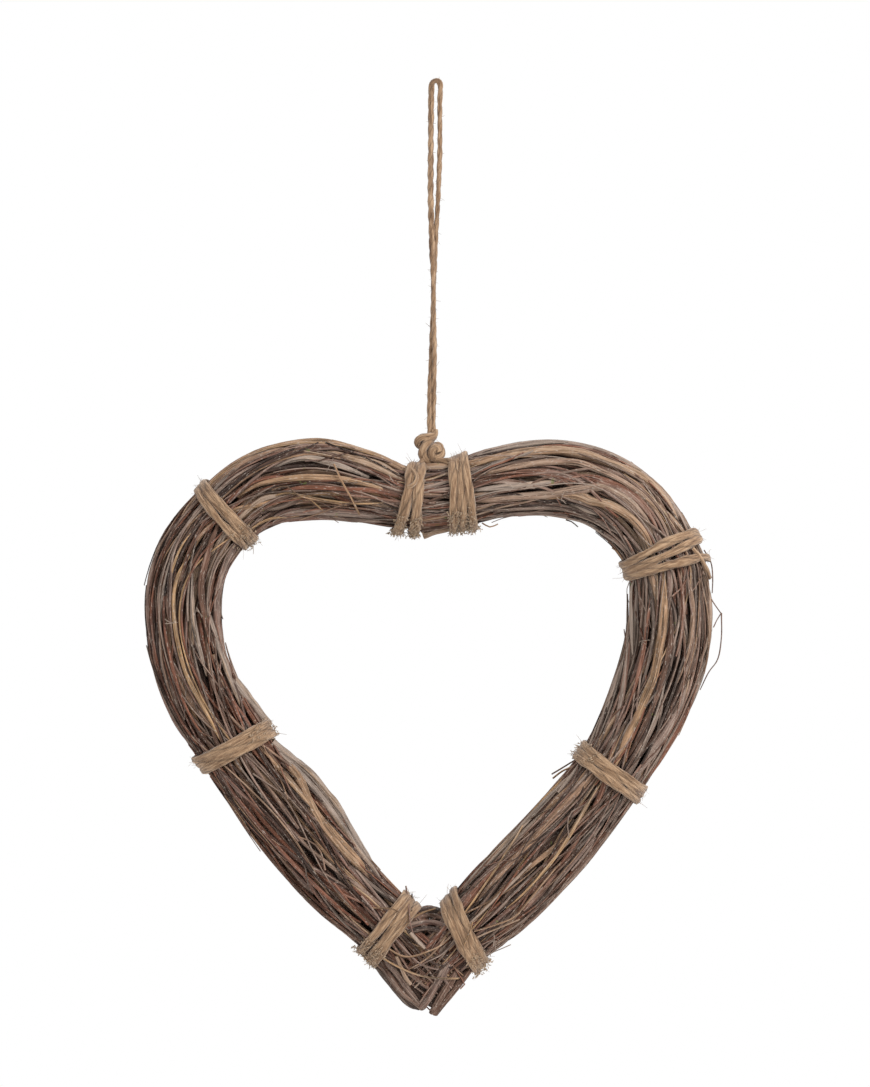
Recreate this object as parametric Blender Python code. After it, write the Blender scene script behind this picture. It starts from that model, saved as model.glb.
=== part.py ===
"""Heart ornament: a bundle of twigs bent to a heart, bound with twine, on a long twine loop.

Units are metres, +Z is up and the front faces -Y. The origin is the inside of the loop's top.
The bundle is one open path: it starts at the tip, runs up the left side and over both lobes,
comes down the right side and ends at the tip, where its two ends cross. Every stem keeps one
place in the bundle's cross-section, and follows that path.
"""

import math

import bpy
import numpy as np

# The heart, over the outside of the bundle
HEART_WIDTH = 0.339
HEART_HEIGHT = 0.341
BUNDLE_WIDTH = 0.048
HEART_ACROSS = -0.0054  # how far the heart's middle stands to the right of the loop's top

# The twine
TWINE_DIAMETER = 0.0034
BINDING_GAP = 0.0006  # between two turns
BINDING_TURNS = 3
FIRST_BINDING_TURNS = 2  # the binding beside the knot
LOOP_DIAMETER = 0.0030  # the same twine, pulled thin by the weight
LOOP_OPENING = 0.0020  # between the legs at the loop's top
LOOP_DROP = 0.2135  # from the loop's inside top to the top of the knot
KNOT_LOOSENESS = 1.14  # 1 is as tight as the twine can be pulled
KNOT_TAIL = 0.0038
KNOT_TAIL_WAY = (-0.86, 0.15, 0.49)
KNOT_POINTS = 30
KNOT_ACROSS = -0.0018

CLEARANCE = 0.0003  # between pieces that touch

# The stems
ROW_COUNTS = (3, 4, 5, 4, 3)  # stems in each row of the cross-section, front to back
OUTER_SIDES = 6
INNER_SIDES = 4
BINDING_SIDES = 4
KNOT_SIDES = 6
LOOP_SIDES = 8
THINNEST_STEM = 0.86  # of the room that a stem has
TIP_SQUEEZE = 0.82  # stems narrow to this at the tip, so that the bundle's two ends interleave
TIP_SQUEEZE_LENGTH = 0.012
TIP_REACH = 0.4  # how far stems reach past the other side's edge at the tip, in spacings
TIP_STAGGER = 0.3  # how much shorter some of them are, in spacings
TIP_SHORTFALL = 0.25  # how far those that stop short stay from the other side, in spacings
TOP_OVERLAP = 0.020  # how far the shortest stem runs past the two top bindings
TOP_STAGGER = 0.009  # from one stem's end to the next one's
END_GAP = 0.004  # between the ends of the two stems in one place

# The places along the path where the stems bend
STATION_STEP = 0.220
STATION_TURN = 0.27

# The bundle's path as (across, up, width, binding). Across is a share of the width between the
# middles of the two sides, up is a share of the height from the crossing at the tip to the lobes'
# middle line, and width is a share of the bundle's usual width.
ROUTE = (
    (0.062, -0.053, 0.875, ""),
    (0.008, 0.000, 0.900, ""),
    (-0.080, 0.082, 0.850, "bottom_left"),
    (-0.186, 0.184, 0.975, ""),
    (-0.283, 0.305, 1.075, ""),
    (-0.398, 0.451, 0.938, "lower_left"),
    (-0.462, 0.555, 1.000, ""),
    (-0.495, 0.658, 0.988, ""),
    (-0.501, 0.756, 0.988, ""),
    (-0.477, 0.846, 0.975, ""),
    (-0.415, 0.926, 0.900, "upper_left"),
    (-0.328, 0.982, 1.000, ""),
    (-0.231, 0.998, 1.050, ""),
    (-0.138, 0.984, 0.950, ""),
    (-0.029, 0.959, 0.775, "top_left"),
    (0.068, 0.969, 0.825, "top_right"),
    (0.151, 0.992, 0.925, ""),
    (0.264, 1.000, 1.000, ""),
    (0.357, 0.977, 1.000, ""),
    (0.423, 0.930, 0.988, ""),
    (0.485, 0.842, 0.963, "upper_right"),
    (0.499, 0.750, 1.100, ""),
    (0.495, 0.662, 1.113, ""),
    (0.464, 0.561, 1.075, ""),
    (0.378, 0.398, 0.912, "lower_right"),
    (0.256, 0.248, 1.000, ""),
    (0.132, 0.121, 0.975, ""),
    (0.076, 0.070, 0.850, "bottom_right"),
    (0.008, 0.004, 0.900, ""),
    (-0.047, -0.049, 0.875, ""),
)

# The loop's two legs as (drop, lean, spread, turn): metres below the loop's inside top, how far
# the middle of the pair stands to the right, half the distance between the legs' middles, and how
# far the pair has turned, in degrees. The legs lie against each other from the fourth row on.
TOUCHING = (LOOP_DIAMETER + CLEARANCE) / 2 + 0.0001
LOOP_LEGS = (
    (0.012, -0.0003, 0.0026, 0),
    (0.040, -0.0004, 0.0027, 0),
    (0.066, -0.0009, 0.0023, 5),
    (0.092, -0.0013, TOUCHING, 25),
    (0.112, -0.0015, TOUCHING, 70),
    (0.128, -0.0015, TOUCHING, 95),
    (0.144, -0.0016, TOUCHING, 110),
    (0.164, -0.0019, TOUCHING, 140),
    (0.186, -0.0025, TOUCHING, 175),
    (LOOP_DROP, -0.0028, TOUCHING, 195),
)
LOOP_POINTS = 50

BARK_COLOURS = (
    (0.34, 0.20, 0.11),
    (0.22, 0.14, 0.09),
    (0.43, 0.27, 0.15),
    (0.16, 0.11, 0.08),
    (0.29, 0.21, 0.16),
)
TWINE_COLOUR = (0.62, 0.48, 0.31)

TWINE_RADIUS = TWINE_DIAMETER / 2
BINDING_SPACING = TWINE_DIAMETER + BINDING_GAP
LOOP_RADIUS = LOOP_DIAMETER / 2
LOOP_TOP_RADIUS = LOOP_RADIUS + LOOP_OPENING / 2
KNOT_UNIT = KNOT_LOOSENESS * (TWINE_DIAMETER + CLEARANCE) / 2
ROW_DEPTH = math.sin(math.radians(60.0))  # from row to row, as a share of the stems' spacing


def smooth_curve(points, samples):
    """Points on a smooth curve through the given ones, samples to each stretch."""
    points = np.array(points, float)
    chords = np.linalg.norm(np.diff(points, axis=0), axis=1)
    times = np.concatenate([[0.0], np.cumsum(np.sqrt(chords))])
    slopes = np.gradient(points, times, axis=0)
    t = (np.arange(samples) / samples)[:, None]
    curve = []
    for i, span in enumerate(np.diff(times)):
        from_start = (1 - t) ** 2 * ((1 + 2 * t) * points[i] + t * span * slopes[i])
        to_end = t**2 * ((3 - 2 * t) * points[i + 1] - (1 - t) * span * slopes[i + 1])
        curve.extend(from_start + to_end)
    curve.append(points[-1])
    return np.array(curve)


def lengths_along(points):
    steps = np.linalg.norm(np.diff(points, axis=0), axis=1)
    return np.concatenate([[0.0], np.cumsum(steps)])


def interpolate(at, along, values):
    return np.array([np.interp(at, along, column) for column in values.T])


class Bundle:
    """The bundle's path, as straight stretches between stations, with its width along it."""

    def __init__(self, bottom_of_knot):
        shares = np.array([row[:3] for row in ROUTE])
        span = np.array([HEART_WIDTH - BUNDLE_WIDTH, HEART_HEIGHT - BUNDLE_WIDTH])
        samples = 24
        curve = smooth_curve(shares, samples)
        self.route = curve[:, :2] * span
        self.widths = curve[:, 2] * BUNDLE_WIDTH
        self.along = lengths_along(self.route)
        names = [row[3] for row in ROUTE]
        self.bindings = {
            name: self.along[i * samples] for i, name in enumerate(names) if name
        }
        self.stations = self.choose_stations()
        self.lay_out()
        rise = bottom_of_knot - CLEARANCE - self.top_under_knot()
        self.middles += np.array([HEART_ACROSS, rise])

    def top_under_knot(self):
        """The top of the stems between the two top bindings, under the knot's lowest place."""
        uppermost = (max(ROW_COUNTS) - 1) / 2
        between = np.linspace(self.bindings["top_left"], self.bindings["top_right"], 50)
        tops = [self.point(s, uppermost, 0.0) for s in between]
        across = [top[0] for top in tops]
        heights = [top[2] + self.spacing(s) / 2 for s, top in zip(between, tops)]
        under = KNOT_ACROSS - HEART_ACROSS + np.array([-TWINE_RADIUS, 0.0, TWINE_RADIUS])
        return float(np.interp(under, across, heights).max())

    def choose_stations(self):
        """A station at each binding, and more between them where the path bends."""
        headings = np.unwrap(np.arctan2(*np.gradient(self.route, axis=0).T[::-1]))
        turned = np.concatenate([[0.0], np.cumsum(np.abs(np.diff(headings)))])
        cost = self.along / STATION_STEP + turned / STATION_TURN
        edges = [0.0, *self.bindings.values(), self.along[-1]]
        stations = []
        for start, end in zip(edges, edges[1:]):
            low, high = np.interp([start, end], self.along, cost)
            count = max(1, round(high - low))
            shares = np.arange(count) / count
            stations += list(np.interp(low + shares * (high - low), cost, self.along))
        stations.append(self.along[-1])
        return np.array(stations)

    def lay_out(self):
        """The middle, the outward direction and the stems' spacing at each station."""
        step = 0.001
        self.middles = np.array(
            [interpolate(s, self.along, self.route) for s in self.stations]
        )
        ahead = np.array(
            [interpolate(s + step, self.along, self.route) for s in self.stations]
        )
        behind = np.array(
            [interpolate(s - step, self.along, self.route) for s in self.stations]
        )
        headings = (ahead - behind) / np.linalg.norm(ahead - behind, axis=1)[:, None]
        self.outward = np.stack([-headings[:, 1], headings[:, 0]], axis=1)
        widths = np.interp(self.stations, self.along, self.widths)
        self.spacings = widths / max(ROW_COUNTS)

    def spacing(self, s):
        return float(np.interp(s, self.stations, self.spacings))

    def point(self, s, aside, depth):
        """A place s along the path, aside and depth given in stem spacings."""
        spreads = self.outward * self.spacings[:, None]
        x, z = interpolate(s, self.stations, self.middles + aside * spreads)
        return np.array([x, depth * self.spacing(s), z])

    def heading(self, s):
        step = 0.0005
        ahead = self.point(s + step, 0.0, 0.0) - self.point(s - step, 0.0, 0.0)
        return ahead / np.linalg.norm(ahead)

    def outward_at(self, s):
        heading = self.heading(s)
        return np.array([-heading[2], 0.0, heading[0]])


def slots():
    """Each stem's place in the cross-section: (row, aside, depth, whether it is outermost)."""
    found = []
    middle_row = len(ROW_COUNTS) // 2
    for row, count in enumerate(ROW_COUNTS):
        for column in range(count):
            aside = column - (count - 1) / 2
            depth = (row - middle_row) * ROW_DEPTH
            at_edge = row in (0, len(ROW_COUNTS) - 1) or column in (0, count - 1)
            found.append((row, aside, depth, at_edge))
    return found


def make_material(name, colour, roughness):
    material = bpy.data.materials.new(name)
    material.use_nodes = True
    shader = material.node_tree.nodes["Principled BSDF"]
    shader.inputs["Base Color"].default_value = (*colour, 1.0)
    shader.inputs["Roughness"].default_value = roughness
    shader.inputs["Metallic"].default_value = 0.0
    return material


def make_tube(name, points, radii, sides, material, collection):
    """A tube with flat ends through the points, with its own radius at each."""
    curve = bpy.data.curves.new(name, "CURVE")
    curve.dimensions = "3D"
    curve.bevel_depth = 1.0
    curve.bevel_resolution = sides // 2 - 2
    curve.use_fill_caps = True
    curve.twist_mode = "MINIMUM"
    spline = curve.splines.new("POLY")
    spline.points.add(len(points) - 1)
    for spline_point, place, radius in zip(spline.points, points, radii):
        spline_point.co = (*place, 1.0)
        spline_point.radius = radius
    spline.use_smooth = sides == LOOP_SIDES
    tube = bpy.data.objects.new(name, curve)
    curve.materials.append(material)
    collection.objects.link(tube)
    return tube


class Tip:
    """The two sides' middle lines at the tip, and how far past one of them a place lies."""

    def __init__(self, bundle):
        self.outward = {}
        self.middles = {}
        for side in ("left", "right"):
            place = bundle.bindings[f"bottom_{side}"]
            self.outward[side] = bundle.outward_at(place)
            self.middles[side] = bundle.point(place, 0.0, 0.0)

    def past(self, place, side):
        return float((place - self.middles[side]) @ self.outward[side])


def tip_end(bundle, tip, side, row, aside, depth):
    """Where a stem ends at the tip: at the other side's outer edge, or short of its inner edge.

    Stems of the even rows pass through on the right and stop short on the left, and those of
    the odd rows the other way round, so the two ends of the bundle interlock.
    """
    passes = (row % 2 == 0) == (side == "right")
    other = "left" if side == "right" else "right"
    spacing = bundle.spacings[0 if side == "left" else -1]
    if passes:
        shorter = TIP_STAGGER * ((row + 2 * aside) % 3) / 2
        limit = (max(ROW_COUNTS) / 2 + TIP_REACH - shorter) * spacing
    else:
        limit = -(ROW_COUNTS[row] / 2 + TIP_SHORTFALL) * spacing - CLEARANCE
    bottom = bundle.bindings[f"bottom_{side}"]
    end = 0.0 if side == "left" else bundle.along[-1]
    for s in np.linspace(bottom, end, 200):
        if tip.past(bundle.point(s, aside, depth), other) > limit:
            return s
    return end


def make_stems(bundle, collection, materials):
    tip = Tip(bundle)
    generator = np.random.default_rng(5)
    for number, (row, aside, depth, outermost) in enumerate(slots(), start=1):
        fullness = THINNEST_STEM + (1 - THINNEST_STEM) * generator.random()
        stagger = TOP_OVERLAP + TOP_STAGGER * (number * 3 % 5)
        if number % 2:
            joint = bundle.bindings["top_left"] - stagger
        else:
            joint = bundle.bindings["top_right"] + stagger
        ends = {
            "left": (tip_end(bundle, tip, "left", row, aside, depth), joint - END_GAP / 2),
            "right": (joint + END_GAP / 2, tip_end(bundle, tip, "right", row, aside, depth)),
        }
        for side, (start, end) in ends.items():
            inside = [s for s in bundle.stations if start < s < end]
            places = [start, *inside, end]
            points = [bundle.point(s, aside, depth) for s in places]
            radii = [stem_radius(bundle, s) * fullness for s in places]
            material = materials[number % len(materials)]
            sides = OUTER_SIDES if outermost else INNER_SIDES
            make_tube(
                f"stem_{side}_{number:02d}", points, radii, sides, material, collection
            )


def stem_radius(bundle, s):
    """The room a stem has at a place: narrower past the bottom bindings, towards the tip."""
    bottoms = (bundle.bindings["bottom_left"], bundle.bindings["bottom_right"])
    half_binding = (BINDING_TURNS * BINDING_SPACING + TWINE_DIAMETER) / 2
    past_binding = max(bottoms[0] - s, s - bottoms[1]) - half_binding
    share = min(max(past_binding / TIP_SQUEEZE_LENGTH, 0.0), 1.0)
    squeeze = 1.0 + (TIP_SQUEEZE - 1.0) * share
    return (bundle.spacing(s) / 2 - CLEARANCE / 2) * squeeze


def make_binding(name, bundle, place, turns, material, collection):
    """Twine wound round the bundle, tight on the outermost stems, with its ends at the back."""
    steps = 12
    half_step = math.pi / steps
    outer_places = [(aside, depth) for _, aside, depth, outermost in slots() if outermost]
    points = []
    for k in range(turns * steps + 1):
        angle = 2 * math.pi * k / steps + half_step + math.pi / 2
        s = place + (k / steps - turns / 2) * BINDING_SPACING
        direction = np.array([math.cos(angle), math.sin(angle)])
        aside, depth = max(outer_places, key=lambda spot: direction @ spot)
        reach = bundle.spacing(s) / 2 + CLEARANCE + TWINE_RADIUS
        reach /= math.cos(half_step)
        offset = bundle.outward_at(s) * direction[0] + np.array([0.0, direction[1], 0.0])
        points.append(bundle.point(s, aside, depth) + offset * reach)
    radii = [TWINE_RADIUS] * len(points)
    make_tube(f"binding_{name}", points, radii, BINDING_SIDES, material, collection)


def knot_point(turn):
    """A place on the middle line of an overhand knot that is six units across."""
    across = math.sin(turn) + 2 * math.sin(2 * turn)
    up = math.cos(turn) - 2 * math.cos(2 * turn)
    return np.array([across, -math.sin(3 * turn), up])


# The highest and lowest places of the knot's middle line, in the same units
KNOT_TOP = max(knot_point(math.radians(degree))[2] for degree in range(360))
KNOT_BOTTOM = min(knot_point(math.radians(degree))[2] for degree in range(360))


def make_knot(centre, material, collection):
    """An overhand knot, whose short tail points up to the left."""
    upper_left = math.radians(300)
    opening = math.radians(22)
    first = upper_left + opening
    turns = np.linspace(first, first + 2 * (math.pi - opening), KNOT_POINTS)
    points = [centre + KNOT_UNIT * knot_point(turn) for turn in turns]
    points.append(points[-1] + KNOT_TAIL * np.array(KNOT_TAIL_WAY))
    radii = [TWINE_RADIUS] * len(points)
    make_tube("hanging_knot", points, radii, KNOT_SIDES, material, collection)


def make_loop(material, collection):
    """Two legs of one length of twine, open at the top and lying against each other below."""
    legs = {}
    for side in (-1, 1):
        leg = []
        for drop, lean, spread, degrees in LOOP_LEGS:
            turn = math.radians(degrees)
            across = lean + side * spread * math.cos(turn)
            leg.append((across, side * spread * math.sin(turn), -drop))
        legs[side] = leg
    middle_of_top = LOOP_RADIUS - LOOP_TOP_RADIUS
    top = [
        (LOOP_TOP_RADIUS * math.sin(turn), 0.0, middle_of_top + LOOP_TOP_RADIUS * math.cos(turn))
        for turn in np.radians([-90, -45, 0, 45, 90])
    ]
    route = [*reversed(legs[-1]), *top, *legs[1]]
    curve = smooth_curve(route, 16)
    along = lengths_along(curve)
    half = along[-1] / 2
    crown = LOOP_TOP_RADIUS * math.pi / 2
    straight = np.linspace(0.0, half - crown, (LOOP_POINTS - 5) // 2)
    bend = np.linspace(half - crown, half + crown, 7)[1:-1]
    places = [*straight, *bend, *reversed(along[-1] - straight)]
    points = [interpolate(s, along, curve) for s in places]
    radii = [LOOP_RADIUS] * len(points)
    make_tube("hanging_loop", points, radii, LOOP_SIDES, material, collection)


def main():
    for old in list(bpy.data.objects):
        bpy.data.objects.remove(old, do_unlink=True)
    collection = bpy.data.collections.new("heart_ornament")
    bpy.context.scene.collection.children.link(collection)

    under_tilted_ends = 2 * CLEARANCE
    knot_height = -LOOP_DROP - under_tilted_ends - TWINE_RADIUS - KNOT_TOP * KNOT_UNIT
    knot_centre = np.array([KNOT_ACROSS, 0.0, knot_height])
    bundle = Bundle(knot_height + KNOT_BOTTOM * KNOT_UNIT - TWINE_RADIUS)

    bark = [make_material(f"bark_{i + 1}", c, 0.85) for i, c in enumerate(BARK_COLOURS)]
    twine = make_material("jute_twine", TWINE_COLOUR, 0.9)
    make_stems(bundle, collection, bark)
    for name, place in bundle.bindings.items():
        turns = FIRST_BINDING_TURNS if name == "top_left" else BINDING_TURNS
        make_binding(name, bundle, place, turns, twine, collection)
    make_knot(knot_centre, twine, collection)
    make_loop(twine, collection)


main()
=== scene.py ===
# %% [markdown]
# # A heart of twigs, hung on twine
#
# The real ornament is made without a frame. A long bundle of thin shoots is bent up one side and
# down the other, its two ends cross at the point, and jute twine is wound round it in eight
# places. A knot and a long loop of the same twine carry it. This script dresses the plain solids
# of the ornament's model: each shoot and each length of twine becomes a mesh of its own.

import math

import bpy
import numpy as np
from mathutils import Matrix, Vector


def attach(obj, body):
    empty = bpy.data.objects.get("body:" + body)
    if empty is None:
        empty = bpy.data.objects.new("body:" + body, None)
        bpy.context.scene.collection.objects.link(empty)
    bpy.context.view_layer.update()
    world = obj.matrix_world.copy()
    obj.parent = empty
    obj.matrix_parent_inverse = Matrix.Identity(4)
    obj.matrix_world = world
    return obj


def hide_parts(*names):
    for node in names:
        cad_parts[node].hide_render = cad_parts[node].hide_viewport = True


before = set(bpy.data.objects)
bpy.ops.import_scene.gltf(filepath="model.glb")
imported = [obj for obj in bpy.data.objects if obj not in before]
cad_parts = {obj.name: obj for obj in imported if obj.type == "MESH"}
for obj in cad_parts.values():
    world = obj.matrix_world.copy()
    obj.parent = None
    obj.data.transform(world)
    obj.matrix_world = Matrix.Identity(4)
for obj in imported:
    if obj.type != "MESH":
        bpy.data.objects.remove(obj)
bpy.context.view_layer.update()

# %% [markdown]
# ## The camera
#
# The photograph looks straight at the heart, so the camera looks along +Y. One pixel of the
# photograph is 0.6 mm of the object, and the inside of the loop's top is the origin. With the
# lens chosen, the distance follows from the height of the frame. A long lens keeps the sides of
# the bundle from showing more than they do in the photograph.

# %% The camera
IMAGE_WIDTH = 870
IMAGE_HEIGHT = 1087
PIXEL = 0.0006
LOOP_TOP_PIXEL = (436, 83)
LENS = 100.0
SENSOR = 36.0


def on_photo(across, down):
    """The place (x, z) of a pixel of the photograph."""
    return (across - LOOP_TOP_PIXEL[0]) * PIXEL, (LOOP_TOP_PIXEL[1] - down) * PIXEL


frame_middle = on_photo(IMAGE_WIDTH / 2, IMAGE_HEIGHT / 2)
camera_distance = IMAGE_HEIGHT * PIXEL * LENS / SENSOR
camera_data = bpy.data.cameras.new("camera")
camera_data.lens = LENS
camera_data.sensor_width = SENSOR
camera = bpy.data.objects.new("camera", camera_data)
camera.location = (frame_middle[0], -camera_distance, frame_middle[1])
camera.rotation_euler = (math.radians(90.0), 0.0, 0.0)
bpy.context.scene.collection.objects.link(camera)
bpy.context.scene.camera = camera
print("camera distance:", round(camera_distance, 3))

# %% [markdown]
# ## The floor and the light
#
# The ground of the picture is plain white, so the world is white where the camera looks at it and
# a little softer as a light. A broad lamp from the upper right gives the twigs their rounded look,
# a weak one from the left keeps the gaps between them from going black, and a third one is there
# for the views from behind. The pale floor lies below the picture and shows in views from above.

# %% Floor, world and lamps
FLOOR_HEIGHT = -0.75
FLOOR_RADIUS = 0.68
FLOOR_THICKNESS = 0.004


def plain_material(name, colour, roughness):
    material = bpy.data.materials.new(name)
    material.use_nodes = True
    shader = material.node_tree.nodes["Principled BSDF"]
    shader.inputs["Base Color"].default_value = (*colour, 1.0)
    shader.inputs["Roughness"].default_value = roughness
    return material


def make_floor():
    bpy.ops.mesh.primitive_cylinder_add(
        vertices=96,
        radius=FLOOR_RADIUS,
        depth=FLOOR_THICKNESS,
        location=(0.0, 0.0, FLOOR_HEIGHT - FLOOR_THICKNESS / 2),
    )
    floor = bpy.context.object
    floor.name = "floor"
    floor.data.materials.append(plain_material("pale_floor", (0.82, 0.81, 0.79), 0.7))


def add_node(tree, kind, inputs=None, **settings):
    """A new node with these settings, and with values or links on its inputs."""
    node = tree.nodes.new(kind)
    for name, value in settings.items():
        setattr(node, name, value)
    for name, value in (inputs or {}).items():
        socket = node.inputs[name]
        if isinstance(value, bpy.types.NodeSocket):
            tree.links.new(value, socket)
        else:
            socket.default_value = value
    return node


def make_world(seen, given):
    """A white world, as bright to the camera as seen, and as bright a light as given."""
    world = bpy.data.worlds.new("white_ground")
    world.use_nodes = True
    tree = world.node_tree
    tree.nodes.clear()
    path = add_node(tree, "ShaderNodeLightPath")
    strength = add_node(
        tree,
        "ShaderNodeMapRange",
        {0: path.outputs["Is Camera Ray"], "To Min": given, "To Max": seen},
    )
    ground = add_node(
        tree,
        "ShaderNodeBackground",
        {"Color": (1.0, 1.0, 1.0, 1.0), "Strength": strength.outputs["Result"]},
    )
    add_node(tree, "ShaderNodeOutputWorld", {"Surface": ground.outputs["Background"]})
    bpy.context.scene.world = world


def make_lamp(name, place, aim, size, power):
    data = bpy.data.lights.new(name, "AREA")
    data.size = size
    data.energy = power
    lamp = bpy.data.objects.new(name, data)
    lamp.location = place
    lamp.rotation_euler = (Vector(aim) - Vector(place)).to_track_quat("-Z", "Y").to_euler()
    bpy.context.scene.collection.objects.link(lamp)


HEART_MIDDLE = (0.0, 0.0, -0.38)
make_floor()
make_world(seen=1.0, given=0.92)
make_lamp("key_lamp", (1.05, -1.0, 0.50), HEART_MIDDLE, 0.8, 24.0)
make_lamp("fill_lamp", (-1.5, -1.2, 0.1), HEART_MIDDLE, 1.2, 3.0)
make_lamp("back_lamp", (-0.3, 1.6, 0.6), HEART_MIDDLE, 1.2, 12.0)
bpy.context.scene.view_settings.view_transform = "Standard"

# %% [markdown]
# ## One tree for every strand
#
# Twigs and twine are both long thin things that follow a path, so one Geometry Nodes tree makes
# them. It takes a mesh of bare edges, whose points carry a thickness, an outward direction, a
# flatness and a few numbers for the material. The tree turns the edges into smooth curves, sweeps
# a circle along them, and then moves the surface: plies make twine of it, ridges and lumps make
# bark of it, and flatness presses it against the bundle. It also stores where each point lies
# along and around its strand, in metres, which is what the materials follow.

# %% What a point carries, and the tree's inputs
POINT_FIELDS = {
    "thickness": "FLOAT",
    "outward": "FLOAT_VECTOR",
    "flat": "FLOAT",
    "phase": "FLOAT",
    "tint": "FLOAT",
    "wash": "FLOAT",
}
SWEEP_SOCKETS = (
    ("Sides", "NodeSocketInt", 8),
    ("Steps", "NodeSocketInt", 2),
    ("Plies", "NodeSocketInt", 0),
    ("Ply depth", "NodeSocketFloat", 0.0),
    ("Lay length", "NodeSocketFloat", 0.01),
    ("Ridge depth", "NodeSocketFloat", 0.0),
    ("Ridge width", "NodeSocketFloat", 0.001),
    ("Lump depth", "NodeSocketFloat", 0.0),
    ("Lump length", "NodeSocketFloat", 0.02),
    ("Material", "NodeSocketMaterial", None),
)
RIDGE_STRETCH = 9.0  # how many times longer than wide a ridge of the bark is
PHASE_STEP = 0.013  # metres between one strand's part of the pattern and another's
print("inputs of the strand tree:", [label for label, *_ in SWEEP_SOCKETS])


# %% Helpers that add nodes
def maths(tree, operation, *values):
    node = add_node(tree, "ShaderNodeMath", dict(enumerate(values)), operation=operation)
    return node.outputs[0]


def vector_maths(tree, operation, *values):
    node = add_node(tree, "ShaderNodeVectorMath", operation=operation)
    for i, value in enumerate(values):
        socket = node.inputs["Scale"] if operation == "SCALE" and i == 1 else node.inputs[i]
        if isinstance(value, bpy.types.NodeSocket):
            tree.links.new(value, socket)
        else:
            socket.default_value = value
    return node.outputs["Value" if operation in ("DOT_PRODUCT", "LENGTH") else "Vector"]


def read_field(tree, name, kind):
    node = add_node(tree, "GeometryNodeInputNamedAttribute", {"Name": name}, data_type=kind)
    return node.outputs["Attribute"]


def store_field(tree, geometry, name, kind, value):
    node = add_node(
        tree,
        "GeometryNodeStoreNamedAttribute",
        {"Geometry": geometry, "Name": name, "Value": value},
        data_type=kind,
        domain="POINT",
    )
    return node.outputs["Geometry"]


def new_tree(name, sockets):
    """An empty Geometry Nodes tree with one geometry and these named inputs."""
    tree = bpy.data.node_groups.new(name, "GeometryNodeTree")
    tree.is_modifier = True
    tree.interface.new_socket("Geometry", in_out="INPUT", socket_type="NodeSocketGeometry")
    for label, kind, value in sockets:
        socket = tree.interface.new_socket(label, in_out="INPUT", socket_type=kind)
        if value is not None:
            socket.default_value = value
    tree.interface.new_socket("Geometry", in_out="OUTPUT", socket_type="NodeSocketGeometry")
    return tree, tree.nodes.new("NodeGroupInput").outputs


# %% [markdown]
# The first two steps of the tree make the plain tubes. A curve forgets where its middle was once
# it is swept, so each path writes down its middle, direction and length beforehand, and the
# section writes down its place on the rim.

# %% From edges to tubes
def smooth_paths(tree, given):
    """The edges as smooth curves that know their own middle, direction and length."""
    curve = add_node(tree, "GeometryNodeMeshToCurve", {"Mesh": given["Geometry"]}).outputs[0]
    smooth = add_node(
        tree, "GeometryNodeCurveSplineType", {"Curve": curve}, spline_type="CATMULL_ROM"
    )
    steps = add_node(
        tree,
        "GeometryNodeSetSplineResolution",
        {"Geometry": smooth.outputs[0], "Resolution": given["Steps"]},
    )
    position = add_node(tree, "GeometryNodeInputPosition").outputs[0]
    tangent = add_node(tree, "GeometryNodeInputTangent").outputs[0]
    length = add_node(tree, "GeometryNodeSplineParameter").outputs["Length"]
    paths = store_field(tree, steps.outputs[0], "middle", "FLOAT_VECTOR", position)
    paths = store_field(tree, paths, "ahead", "FLOAT_VECTOR", tangent)
    return store_field(tree, paths, "along", "FLOAT", length)


def tubes(tree, given, paths, thickness):
    """A circle swept along the paths, which keeps its own place on the rim."""
    circle = add_node(
        tree, "GeometryNodeCurvePrimitiveCircle", {"Resolution": given["Sides"], "Radius": 1.0}
    )
    rim_place = add_node(tree, "GeometryNodeInputPosition").outputs[0]
    section = store_field(tree, circle.outputs["Curve"], "rim", "FLOAT_VECTOR", rim_place)
    return add_node(
        tree,
        "GeometryNodeCurveToMesh",
        {"Curve": paths, "Profile Curve": section, "Scale": thickness, "Fill Caps": True},
    ).outputs[0]


# %% [markdown]
# The next steps say how far the surface stands from its middle, as a share of the thickness. The
# lobes of a twine's plies turn as they go along, ridges run along the bark, and lumps thicken the
# whole strand.

# %% Plies, ridges and lumps
def ply_crest(tree, given, rim, along):
    """How near a point is to the crest of its ply: 1 on it, 0 in the groove."""
    parts = add_node(tree, "ShaderNodeSeparateXYZ", {0: rim}).outputs
    angle = maths(tree, "ARCTAN2", parts["Y"], parts["X"])
    turned = maths(tree, "DIVIDE", maths(tree, "MULTIPLY", along, 2 * math.pi), given["Lay length"])
    lobe = maths(tree, "MULTIPLY", maths(tree, "SUBTRACT", angle, turned), given["Plies"])
    return maths(tree, "ABSOLUTE", maths(tree, "COSINE", maths(tree, "MULTIPLY", lobe, 0.5)))


def unevenness(tree, place, depth):
    """A noise about nought at these places, as strong as depth."""
    node = add_node(
        tree, "ShaderNodeTexNoise", {"Vector": place, "Scale": 1.0, "Detail": 2.0}
    )
    return maths(tree, "MULTIPLY", maths(tree, "SUBTRACT", node.outputs[0], 0.5), depth)


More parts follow.
